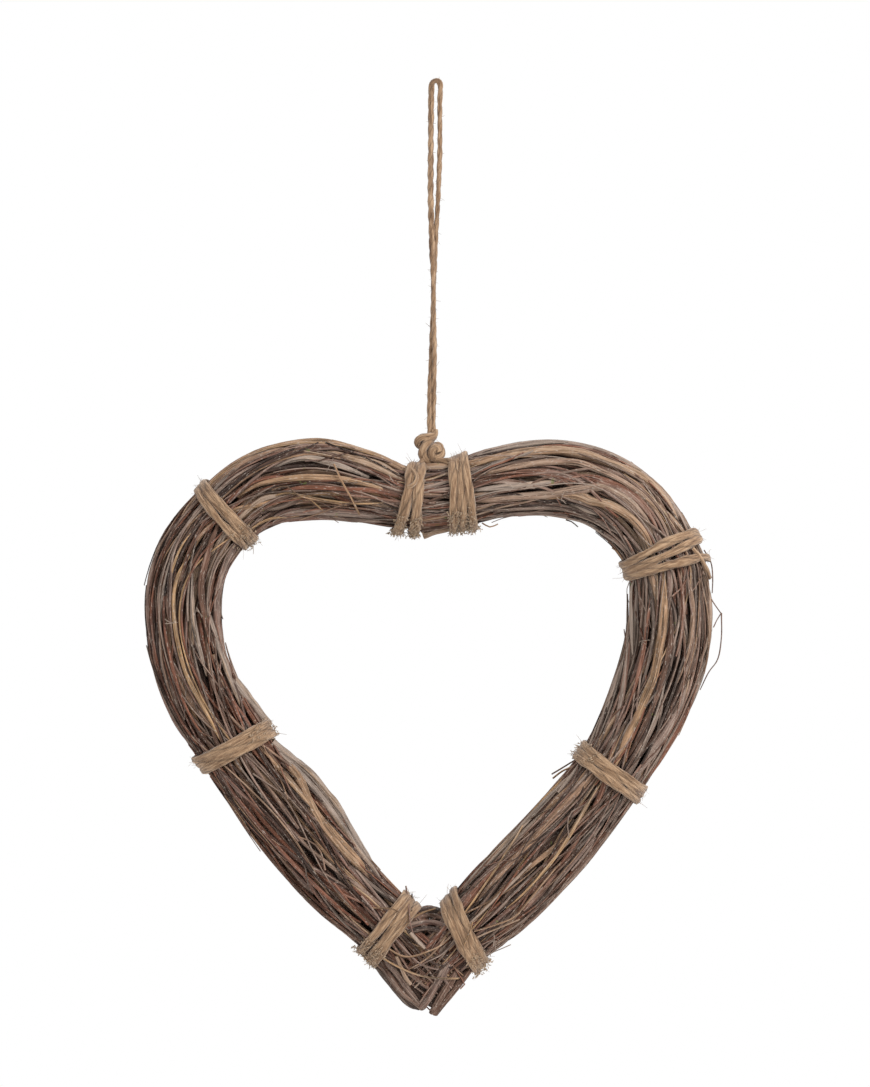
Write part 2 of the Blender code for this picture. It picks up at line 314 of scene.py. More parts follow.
def surface_share(tree, given, crest, grain, phase, along):
    """The surface's distance from the middle, as a share of the thickness."""
    sunk = maths(tree, "MULTIPLY", maths(tree, "SUBTRACT", crest, 1.0), given["Ply depth"])
    across = maths(tree, "DIVIDE", 1.0, given["Ridge width"])
    down = maths(tree, "DIVIDE", across, RIDGE_STRETCH)
    ridge_scale = add_node(tree, "ShaderNodeCombineXYZ", {"X": across, "Y": across, "Z": down})
    ridge_place = vector_maths(tree, "MULTIPLY", grain, ridge_scale.outputs[0])
    raised = unevenness(tree, ridge_place, given["Ridge depth"])
    lump_number = maths(tree, "DIVIDE", along, given["Lump length"])
    lump_place = add_node(tree, "ShaderNodeCombineXYZ", {"X": phase, "Z": lump_number})
    swelled = unevenness(tree, lump_place.outputs[0], given["Lump depth"])
    return maths(tree, "ADD", maths(tree, "ADD", sunk, raised), maths(tree, "ADD", swelled, 1.0))


# %% [markdown]
# Last, each point moves: its offset from the middle is scaled by that share, and then pressed
# flat along the outward direction. The sides are shaded smooth and the cut ends stay flat.

# %% The whole tree
def moved_surface(tree, geometry, share):
    middle = read_field(tree, "middle", "FLOAT_VECTOR")
    outward = read_field(tree, "outward", "FLOAT_VECTOR")
    place = add_node(tree, "GeometryNodeInputPosition").outputs[0]
    offset = vector_maths(tree, "SCALE", vector_maths(tree, "SUBTRACT", place, middle), share)
    high = vector_maths(tree, "DOT_PRODUCT", offset, outward)
    pressed = maths(tree, "MULTIPLY", high, read_field(tree, "flat", "FLOAT"))
    offset = vector_maths(tree, "SUBTRACT", offset, vector_maths(tree, "SCALE", outward, pressed))
    return add_node(
        tree,
        "GeometryNodeSetPosition",
        {"Geometry": geometry, "Position": vector_maths(tree, "ADD", middle, offset)},
    ).outputs[0]


def smooth_sides(tree, geometry):
    normal = add_node(tree, "GeometryNodeInputNormal").outputs[0]
    facing = vector_maths(tree, "DOT_PRODUCT", normal, read_field(tree, "ahead", "FLOAT_VECTOR"))
    is_side = maths(tree, "LESS_THAN", maths(tree, "ABSOLUTE", facing), 0.8)
    return add_node(
        tree, "GeometryNodeSetShadeSmooth", {"Geometry": geometry, "Shade Smooth": is_side}
    ).outputs[0]


def make_strand_tree():
    tree, given = new_tree("strands_along_paths", SWEEP_SOCKETS)
    thickness = read_field(tree, "thickness", "FLOAT")
    made = tubes(tree, given, smooth_paths(tree, given), thickness)

    # Where a point lies on its strand, in metres: around as (x, y), along as z
    rim = read_field(tree, "rim", "FLOAT_VECTOR")
    along = read_field(tree, "along", "FLOAT")
    phase = maths(tree, "MULTIPLY", read_field(tree, "phase", "FLOAT"), PHASE_STEP)
    around = vector_maths(tree, "SCALE", rim, thickness)
    end_place = add_node(
        tree, "ShaderNodeCombineXYZ", {"X": phase, "Z": maths(tree, "ADD", along, phase)}
    ).outputs[0]
    grain = vector_maths(tree, "ADD", around, end_place)
    crest = ply_crest(tree, given, rim, along)
    made = store_field(tree, made, "grain", "FLOAT_VECTOR", grain)
    made = store_field(tree, made, "crest", "FLOAT", crest)

    share = surface_share(tree, given, crest, grain, phase, along)
    made = smooth_sides(tree, moved_surface(tree, made, share))
    for name in ("middle", "rim", "outward", "flat", "thickness", "along", "phase"):
        made = add_node(
            tree, "GeometryNodeRemoveAttribute", {"Geometry": made, "Name": name}
        ).outputs[0]
    real = add_node(tree, "GeometryNodeRealizeInstances", {"Geometry": made}).outputs[0]
    painted = add_node(
        tree, "GeometryNodeSetMaterial", {"Geometry": real, "Material": given["Material"]}
    )
    add_node(tree, "NodeGroupOutput", {"Geometry": painted.outputs[0]})
    return tree


STRAND_TREE = make_strand_tree()
print("strand tree:", len(STRAND_TREE.nodes), "nodes")

# %% [markdown]
# ## Strands as data
#
# A strand is its points and what they carry. The next cell writes many strands into one mesh of
# edges, gives it the tree as a modifier, and keeps the result as a plain mesh without modifiers.

# %% From strands to a mesh
def as_column(value, count, width=None):
    value = np.asarray(value, float)
    shape = (count,) if width is None else (count, width)
    return np.broadcast_to(value, shape)


class Strand:
    """One path with its radius, outward direction and looks at each point."""

    def __init__(self, points, radius, outward=(0, -1, 0), flat=0.0, tint=0.5, wash=0.0, phase=0.0):
        self.points = np.asarray(points, float)
        count = len(self.points)
        self.fields = {
            "thickness": as_column(radius, count),
            "outward": as_column(outward, count, 3),
            "flat": as_column(flat, count),
            "phase": as_column(phase, count),
            "tint": as_column(tint, count),
            "wash": as_column(wash, count),
        }


def paths_mesh(name, strands):
    points = np.concatenate([strand.points for strand in strands])
    edges = []
    start = 0
    for strand in strands:
        steps = np.arange(start, start + len(strand.points) - 1)
        edges.append(np.stack([steps, steps + 1], axis=1))
        start += len(strand.points)
    mesh = bpy.data.meshes.new(name)
    mesh.from_pydata(points.tolist(), np.concatenate(edges).tolist(), [])
    for field, kind in POINT_FIELDS.items():
        values = np.concatenate([strand.fields[field] for strand in strands])
        layer = mesh.attributes.new(field, kind, "POINT")
        layer.data.foreach_set("vector" if kind == "FLOAT_VECTOR" else "value", values.ravel())
    return mesh


def triangles(mesh):
    return sum(len(face.vertices) - 2 for face in mesh.polygons)


def grow(name, mesh, tree, sizes):
    """The mesh that the tree makes of this one, as a plain object of this name."""
    carrier = bpy.data.objects.new(name + "_paths", mesh)
    bpy.context.scene.collection.objects.link(carrier)
    modifier = carrier.modifiers.new("grow", "NODES")
    modifier.node_group = tree
    for item in tree.interface.items_tree:
        if item.item_type == "SOCKET" and item.in_out == "INPUT" and item.name in sizes:
            modifier[item.identifier] = sizes[item.name]
    graph = bpy.context.evaluated_depsgraph_get()
    made = bpy.data.meshes.new_from_object(carrier.evaluated_get(graph))
    bpy.data.objects.remove(carrier)
    made.name = name
    piece = bpy.data.objects.new(name, made)
    bpy.context.scene.collection.objects.link(piece)
    print(name + ":", triangles(made), "triangles")
    return piece


def make_strands(name, strands, **sizes):
    """Strands as one piece. The sizes are the tree's inputs, with _ for the spaces."""
    named = {key.replace("_", " "): value for key, value in sizes.items()}
    return grow(name, paths_mesh(name, strands), STRAND_TREE, named)


# %% [markdown]
# Routes are given by a few places only. The helpers below lay a smooth curve through them, and
# then space its points evenly, so that the surface has the same fineness everywhere.

# %% Smooth and even paths
def smooth_curve(points, samples):
    """Points on a smooth curve through the given ones, samples to each stretch."""
    points = np.array(points, float)
    chords = np.linalg.norm(np.diff(points, axis=0), axis=1)
    times = np.concatenate([[0.0], np.cumsum(np.sqrt(chords))])
    slopes = np.gradient(points, times, axis=0)
    t = (np.arange(samples) / samples)[:, None]
    curve = []
    for i, span in enumerate(np.diff(times)):
        from_start = (1 - t) ** 2 * ((1 + 2 * t) * points[i] + t * span * slopes[i])
        to_end = t**2 * ((3 - 2 * t) * points[i + 1] - (1 - t) * span * slopes[i + 1])
        curve.extend(from_start + to_end)
    curve.append(points[-1])
    return np.array(curve)


def lengths_along(points):
    steps = np.linalg.norm(np.diff(points, axis=0), axis=1)
    return np.concatenate([[0.0], np.cumsum(steps)])


def evenly(points, gap):
    """The same path with points about this far apart."""
    along = lengths_along(points)
    places = np.linspace(0.0, along[-1], max(3, round(along[-1] / gap) + 1))
    return np.stack([np.interp(places, along, column) for column in points.T], axis=1)


arch = smooth_curve([(0, 0), (1, 1), (2, 0)], 2)
print("a smooth curve through three places:", np.round(arch, 2).tolist())

# %% [markdown]
# ## Jute
#
# Jute twine is a few loose plies of coarse fibre. Up close it shows fine streaks that run along the
# plies, and a dull sheen; the grooves where two plies meet are darkened in the colour as painted shade.
# The streaks follow the grain that the strand tree stored, so they turn with the twine wherever it
# bends. Where twine has come undone its wool is paler, which the strands of wool ask for with their
# wash.

# %% Helpers for both materials
def linear(*shade):
    """A colour as the screen shows it, 0 to 255, in the linear values that shaders take."""
    shares = np.array(shade) / 255.0
    low = shares / 12.92
    high = ((shares + 0.055) / 1.055) ** 2.4
    return tuple(float(v) for v in np.where(shares <= 0.04045, low, high))


def read_attribute(tree, name, output):
    node = add_node(tree, "ShaderNodeAttribute", attribute_name=name)
    return node.outputs[output]


def noise(tree, vector, scale, detail=3.0, roughness=0.55):
    """A noise whose scale along the strand may differ from that around it."""
    stretched = vector_maths(tree, "MULTIPLY", vector, scale)
    node = add_node(
        tree,
        "ShaderNodeTexNoise",
        {"Vector": stretched, "Scale": 1.0, "Detail": detail, "Roughness": roughness},
    )
    return node.outputs[0]


def between(tree, value, low, high, to_low=0.0, to_high=1.0):
    node = add_node(
        tree,
        "ShaderNodeMapRange",
        {0: value, 1: low, 2: high, 3: to_low, 4: to_high},
        interpolation_type="SMOOTHSTEP",
    )
    return node.outputs[0]


def blend_colours(tree, share, first, second, mode="MIX"):
    node = add_node(
        tree, "ShaderNodeMix", {0: share, 6: first, 7: second}, data_type="RGBA", blend_type=mode
    )
    return node.outputs[2]


def cover(tree, colour, value, low, high, most, over):
    """The colour, covered by another up to a share of most where the value is high."""
    share = between(tree, value, low, high, 0.0, most)
    return blend_colours(tree, share, colour, (*over, 1.0))


def colour_ramp(tree, value, stops):
    node = add_node(tree, "ShaderNodeValToRGB", {0: value})
    elements = node.color_ramp.elements
    while len(elements) < len(stops):
        elements.new(0.5)
    for element, (place, colour) in zip(elements, stops):
        element.position = place
        element.color = (*colour, 1.0)
    return node.outputs[0]


def new_material(name, roughness, specular):
    material = bpy.data.materials.new(name)
    material.use_nodes = True
    tree = material.node_tree
    shader = tree.nodes["Principled BSDF"]
    shader.inputs["Roughness"].default_value = roughness
    shader.inputs["Specular IOR Level"].default_value = specular
    return material, tree, shader


# %% The jute material
WOOL_COLOUR = linear(190, 166, 138)


def make_jute(name, dark, usual, light):
    material, tree, shader = new_material(name, roughness=0.85, specular=0.25)
    grain = read_attribute(tree, "grain", "Vector")
    fibres = noise(tree, grain, (900.0, 900.0, 80.0), detail=4.0, roughness=0.72)
    patches = noise(tree, grain, (160.0, 160.0, 60.0))
    colour = colour_ramp(tree, fibres, ((0.36, dark), (0.50, usual), (0.64, light)))
    worn = cover(tree, colour, patches, 0.35, 0.7, 0.35, light)
    wash = read_attribute(tree, "wash", "Fac")
    worn = cover(tree, worn, wash, 0.0, 1.0, 0.75, WOOL_COLOUR)
    # Painted shade: the colour is darkened in the grooves between the plies, where shade falls
    groove = between(tree, read_attribute(tree, "crest", "Fac"), 0.0, 0.40, 0.55, 1.0)
    shaded = blend_colours(tree, 1.0, worn, groove, "MULTIPLY")
    tree.links.new(shaded, shader.inputs["Base Color"])
    shader.inputs["Sheen Weight"].default_value = 0.25
    shader.inputs["Sheen Roughness"].default_value = 0.5
    bump = add_node(
        tree, "ShaderNodeBump", {"Strength": 0.9, "Distance": 0.0008, "Height": fibres}
    )
    tree.links.new(bump.outputs[0], shader.inputs["Normal"])
    return material


JUTE = make_jute("jute_twine", linear(82, 58, 41), linear(132, 103, 77), linear(174, 145, 116))
print("jute material:", len(JUTE.node_tree.nodes), "nodes")

# %% [markdown]
# ## The hanging loop
#
# The loop is the one cord of this object: a single length of twine that goes up from the knot,
# round and back down, with its two legs twisted together lower down. Its weight is nothing beside
# that of the heart, so it hangs straight. The rows below are its route, as the model has it:
# metres below the loop's inside top, how far the pair's middle stands to the right, half the
# distance between the legs, and how far the pair has turned. Twine isn't even: the left leg is
# fluffy and thick above, and both are pulled thin where they wind round each other. So a second
# list gives the thickness: how far along the twine, as a share from the left leg's foot over the
# top to the right leg's foot, and the thickness there as a share of the diameter.

# %% The loop's route and its twine
LOOP_DIAMETER = 0.0030
LOOP_OPENING = 0.0020
LOOP_DROP = 0.2135
LEGS_TOUCHING = 0.00138
LOOP_LEGS = (
    (0.012, -0.0003, 0.0026, 0),
    (0.040, -0.0004, 0.0027, 0),
    (0.066, -0.0009, 0.0023, 5),
    (0.092, -0.0013, LEGS_TOUCHING, 25),
    (0.112, -0.0015, LEGS_TOUCHING, 70),
    (0.128, -0.0015, LEGS_TOUCHING, 95),
    (0.144, -0.0016, LEGS_TOUCHING, 110),
    (0.164, -0.0019, LEGS_TOUCHING, 140),
    (0.186, -0.0025, 0.00122, 175),
    (LOOP_DROP, -0.0028, 0.00118, 195),
)
LOOP_RING_GAP = 0.0022
LOOP_THICKNESS = (
    (0.00, 1.08), (0.18, 0.98), (0.26, 1.08), (0.32, 1.30),
    (0.48, 1.28), (0.53, 1.04), (0.78, 1.00), (1.00, 1.06),
)


def loop_route():
    legs = {}
    for side in (-1, 1):
        leg = []
        for drop, lean, spread, degrees in LOOP_LEGS:
            turn = math.radians(degrees)
            across = lean + side * spread * math.cos(turn)
            leg.append((across, side * spread * math.sin(turn), -drop))
        legs[side] = leg
    top_radius = LOOP_DIAMETER / 2 + LOOP_OPENING / 2
    middle_of_top = LOOP_DIAMETER / 2 - top_radius
    top = [
        (top_radius * math.sin(turn), 0.0, middle_of_top + top_radius * math.cos(turn))
        for turn in np.radians([-90, -45, 0, 45, 90])
    ]
    return [*reversed(legs[-1]), *top, *legs[1]]


def uneven(count, amount, generator, length=6):
    """A smooth random factor about 1, as the thickness of twine and twigs has."""
    knots = max(3, count // length + 2)
    values = 1.0 + amount * generator.standard_normal(knots)
    return np.interp(np.linspace(0, knots - 1, count), np.arange(knots), values)


loop_path = evenly(smooth_curve(loop_route(), 16), LOOP_RING_GAP)
loop_thickness = np.interp(np.linspace(0.0, 1.0, len(loop_path)), *zip(*LOOP_THICKNESS))
loop_thickness = loop_thickness * uneven(len(loop_path), 0.06, np.random.default_rng(3))
hanging_loop = make_strands(
    "hanging_loop",
    [Strand(loop_path, LOOP_DIAMETER / 2 * loop_thickness)],
    Sides=20, Steps=2, Plies=2, Ply_depth=0.24, Lay_length=0.017,
    Ridge_depth=0.34, Ridge_width=0.0006, Lump_depth=0.2, Lump_length=0.006, Material=JUTE,
)

# %% [markdown]
# ## The knot
#
# The two legs end in a knot that sits on the bundle: a collar round the neck, a curl that sticks
# out at the upper left, and two fat turns below it. Two lengths of twine leave it and run under
# the top bindings. Each route is a list of places, across and down in pixels of the photograph
# and deep in millimetres, as one would follow the twine with a finger.

# %% The knot
TWINE_DIAMETER = 0.0034
KNOT_TURNS = (
    ((434, 430, 0.0), (434, 435, -0.8), (429, 437, -2.4), (421, 438, -3.0), (418, 442, -1.6),
     (422, 447, 0.6), (430, 447, 2.4), (438, 446, 1.8), (441, 450, -0.6), (440, 456, -2.8),
     (434, 458, -3.8), (432, 452, -4.6), (436, 448, -4.8), (438, 452, -4.4)),
    ((433, 436, 0.8), (431, 439, -1.4), (428, 442, -3.4), (424, 448, -4.2), (423, 455, -3.8),
     (427, 460, -2.0), (434, 460, 0.6), (437, 455, 2.6), (431, 449, 3.4), (425, 448, 2.4)),
)
KNOT_LINKS = (
    ((424, 456, -2.6), (422, 462, -4.5), (420, 468, -8.0), (417, 476, -13.0)),
    ((430, 458, -3.2), (437, 460, -4.6), (446, 461, -6.0), (452, 463, -8.6)),
)
KNOT_TWINE = 1.62  # the twine is fatter where it isn't pulled thin
LINK_TWINE = 1.15


def deep_route(rows):
    """Places in space from rows of (across, down, depth in millimetres)."""
    return [(on_photo(a, b)[0], depth / 1000.0, on_photo(a, b)[1]) for a, b, depth in rows]


def make_knot():
    generator = np.random.default_rng(8)
    strands = []
    for routes, thickness in ((KNOT_TURNS, KNOT_TWINE), (KNOT_LINKS, LINK_TWINE)):
        for route in routes:
            path = evenly(smooth_curve(deep_route(route), 8), 0.0011)
            size = TWINE_DIAMETER / 2 * thickness * uneven(len(path), 0.06, generator)
            strands.append(Strand(path, size, phase=len(strands) + 0.3))
    return make_strands(
        "hanging_knot",
        strands,
        Sides=20, Steps=1, Plies=2, Ply_depth=0.16, Lay_length=0.017,
        Ridge_depth=0.42, Ridge_width=0.0006, Lump_depth=0.2, Lump_length=0.006, Material=JUTE,
    )


hanging_knot = make_knot()

# %% [markdown]
# ## The bundle's path
#
# The bundle is one open path. It starts at the point of the heart, runs up the left side and over
# both lobes, comes down the right side and ends at the point, where its ends cross. Each row is a
# place on it: across and up as shares of the heart's size, and the bundle's width there as a
# share of the usual width. Later cells place everything by three numbers: how far along this path,
# how far aside from its middle (outwards is positive) and how deep (the front is negative).

# %% The bundle's path
HEART_WIDTH = 0.339
HEART_HEIGHT = 0.341
BUNDLE_WIDTH = 0.048
HEART_ACROSS = -0.0054
CROSSING_HEIGHT = -0.5301  # of the middle lines' crossing at the heart's point
FRONT_TO_WIDTH = 0.90  # the bundle is a little less deep than wide
ROUTE = (
    (0.062, -0.053, 0.875, ""),
    (0.008, 0.000, 0.900, ""),
    (-0.080, 0.082, 0.850, "bottom_left"),
    (-0.186, 0.184, 0.975, ""),
    (-0.283, 0.305, 1.075, ""),
    (-0.398, 0.451, 0.938, "lower_left"),
    (-0.462, 0.555, 1.000, ""),
    (-0.495, 0.658, 0.988, ""),
    (-0.501, 0.756, 0.988, ""),
    (-0.477, 0.846, 0.975, ""),
    (-0.415, 0.926, 0.900, "upper_left"),
    (-0.328, 0.982, 1.000, ""),
    (-0.231, 0.998, 1.050, ""),
    (-0.138, 0.984, 0.950, ""),
    (-0.029, 0.959, 0.775, "top_left"),
    (0.068, 0.969, 0.825, "top_right"),
    (0.151, 0.992, 0.925, ""),
    (0.264, 1.000, 1.000, ""),
    (0.357, 0.977, 1.000, ""),
    (0.423, 0.930, 0.988, ""),
    (0.485, 0.842, 0.963, "upper_right"),
    (0.499, 0.750, 1.100, ""),
    (0.495, 0.662, 1.113, ""),
    (0.464, 0.561, 1.075, ""),
    (0.378, 0.398, 0.912, "lower_right"),
    (0.256, 0.248, 1.000, ""),
    (0.132, 0.121, 0.975, ""),
    (0.076, 0.070, 0.850, "bottom_right"),
    (0.008, 0.004, 0.900, ""),
    (-0.047, -0.049, 0.875, ""),
)


class Bundle:
    """The bundle's middle line, its outward direction and its half width, by length along."""

    def __init__(self):
        samples = 24
        curve = smooth_curve([row[:3] for row in ROUTE], samples)
        span = np.array([HEART_WIDTH - BUNDLE_WIDTH, HEART_HEIGHT - BUNDLE_WIDTH])
        self.line = curve[:, :2] * span + np.array([HEART_ACROSS, CROSSING_HEIGHT])
        self.half_widths = curve[:, 2] * BUNDLE_WIDTH / 2
        self.along = lengths_along(self.line)
        self.length = self.along[-1]
        headings = np.gradient(self.line, self.along, axis=0)
        self.headings = headings / np.linalg.norm(headings, axis=1)[:, None]
        self.bindings = {
            row[3]: self.along[i * samples] for i, row in enumerate(ROUTE) if row[3]
        }

    def half_width(self, s):
        return np.interp(s, self.along, self.half_widths)

    def heading(self, s):
        columns = [np.interp(s, self.along, column) for column in self.headings.T]
        return np.stack(columns, axis=-1)

    def middle(self, s):
        """The middle line, carried on straight past its two ends."""
        columns = [np.interp(s, self.along, column) for column in self.line.T]
        past = np.asarray(s - np.clip(s, 0.0, self.length))[..., None]
        return np.stack(columns, axis=-1) + past * self.heading(s)

    def point(self, s, aside, depth):
        """Places in space, from arrays of places on the bundle."""
        s = np.asarray(s, float)
        middle = self.middle(s)
        heading = self.heading(s)
        x = middle[..., 0] - heading[..., 1] * aside
        z = middle[..., 1] + heading[..., 0] * aside
        return np.stack(np.broadcast_arrays(x, depth, z), axis=-1)

    def direction(self, s, aside, depth):
        """A unit direction in the cross-section, in space."""
        heading = self.heading(np.asarray(s, float))
        found = np.stack(
            np.broadcast_arrays(-heading[..., 1] * aside, depth, heading[..., 0] * aside), axis=-1
        )
        return found / np.linalg.norm(found, axis=-1, keepdims=True)

    def locate(self, place, low, high):
        """How far along and aside a place (x, z) lies, on this stretch of the path."""
        rows = np.flatnonzero((self.along >= low) & (self.along <= high))
        offsets = np.array(place) - self.line[rows]
        nearest = np.linalg.norm(offsets, axis=1).argmin()
        row = rows[nearest]
        outward = np.array([-self.headings[row, 1], self.headings[row, 0]])
        return self.along[row], float(offsets[nearest] @ outward)


BUNDLE = Bundle()
SIDE_OVERLAP = 0.03  # how far past the middle of the top a side's places may lie
SIDE_STRETCHES = (
    (0.0, BUNDLE.length / 2 + SIDE_OVERLAP),
    (BUNDLE.length / 2 - SIDE_OVERLAP, BUNDLE.length),
)
print("path:", round(BUNDLE.length, 4), "m, bindings at",
      {name: round(float(s), 3) for name, s in BUNDLE.bindings.items()})

# %% [markdown]
# ## Vines that show
#
# A few broad vines and pale or reddish twigs give this heart its face, so they are listed one by one.
# Each row has a name, its width and how flat it is, its tint and whitewash, and its route in
# pixels of the photograph. A route only says where the vine shows: the next cells put it on the
# front of the bundle, pressed against it, and the other twigs make room for it.

# %% The rows of the listed vines
DARK, BROWN, RUSSET, MAUVE, TANNED, TAN, STRAW, CHALK = np.linspace(0.0, 1.0, 8)
LEFT_VINES = {
    "rim of the left lobe": (7.5, 0.15, TAN, 0.25,
     ((452, 464), (430, 466), (408, 464), (367, 451), (338, 441), (310, 438), (285, 439),
      (267, 447), (240, 463), (217, 479), (200, 494), (184, 512), (170, 535))),
    "broad left vine": (11, 0.45, TANNED, 0.2,
     ((196, 510), (215, 485), (231, 473), (253, 460), (274, 453), (299, 450), (321, 448))),
    "broad left vine, its other half": (12, 0.5, TAN, 0.25,
     ((306, 447), (325, 450), (347, 458), (374, 465), (392, 474), (406, 483), (432, 490))),
    "mauve strip in the hollow": (8, 0.6, CHALK, 0.5,
     ((268, 468), (290, 461), (308, 459), (330, 463), (352, 470), (376, 478))),
    "tan stem of the left lobe": (6.5, 0.2, TAN, 0.2,
     ((236, 498), (258, 486), (294, 479), (321, 478), (356, 482), (378, 488), (402, 493))),
    "russet stem of the left lobe": (5, 0.2, RUSSET, 0.1,
     ((270, 499), (296, 489), (339, 489), (374, 491), (403, 497), (424, 500))),
    "straw twig of the left lobe": (2.4, 0.0, STRAW, 0.0,
     ((262, 507), (285, 494), (321, 500), (356, 504), (401, 503))),
    "grey vine under the left lobe": (8, 0.4, MAUVE, 0.45,
     ((262, 530), (282, 516), (310, 512), (345, 513), (380, 517), (405, 521))),
    "inner edge of the left lobe": (6, 0.2, MAUVE, 0.35,
     ((256, 545), (280, 530), (312, 523), (350, 523), (385, 528), (410, 533))),
    "inner edge of the left arm": (10, 0.5, MAUVE, 0.5,
     ((248, 534), (232, 566), (223, 590), (219, 612), (222, 640), (229, 666), (241, 692))),
    "pale vine beside it": (7, 0.4, CHALK, 0.55,
     ((214, 604), (215, 622), (219, 644), (227, 668), (236, 690), (250, 712))),
    "brown vine of the left arm": (7.5, 0.4, BROWN, 0.2,
     ((228, 508), (217, 534), (208, 560), (203, 586), (206, 612), (213, 640), (224, 668))),
    "straw twig of the left arm": (4.2, 0.0, STRAW, 0.05,
     ((201, 546), (184, 568), (177, 590), (177, 616), (181, 643), (188, 670), (199, 693),
      (211, 714), (222, 736), (236, 760))),
    "upper straw twig": (3.2, 0.0, STRAW, 0.1,
     ((212, 514), (199, 528), (188, 540), (178, 560), (172, 584), (169, 610))),
    "russet twig of the left arm": (3.4, 0.0, RUSSET, 0.0,
     ((166, 574), (166, 600), (168, 630), (174, 661), (184, 695), (198, 724), (212, 745))),
    "russet twig by the inner edge": (3.2, 0.0, RUSSET, 0.0,
     ((211, 646), (222, 671), (233, 697), (244, 722), (258, 748))),
    "outer vine of the left arm": (7, 0.25, MAUVE, 0.3,
     ((186, 508), (170, 530), (157, 556), (151, 585), (150, 616), (154, 645), (163, 676))),
    "grey strip of the left arm": (6, 0.4, CHALK, 0.4,
     ((196, 572), (195, 596), (196, 620), (202, 648), (212, 676))),
    "tan vine below the left binding": (6, 0.3, TAN, 0.2,
     ((252, 732), (277, 762), (305, 795), (334, 829), (362, 861), (388, 892))),
    "inner edge below the left binding": (8, 0.4, CHALK, 0.4,
     ((270, 728), (296, 757), (325, 790), (352, 822), (378, 853), (400, 884))),
    "russet stem of the lower left": (4.5, 0.1, RUSSET, 0.0,
     ((216, 764), (242, 800), (272, 836), (304, 870), (338, 902), (368, 928))),
    "brown stem of the lower left": (6, 0.3, BROWN, 0.1,
     ((203, 778), (226, 812), (256, 850), (290, 886), (326, 920), (358, 946))),
    "left edge of the point": (7, 0.2, BROWN, 0.15,
     ((340, 934), (362, 956), (380, 974), (397, 995), (413, 1008), (428, 1012))),
}
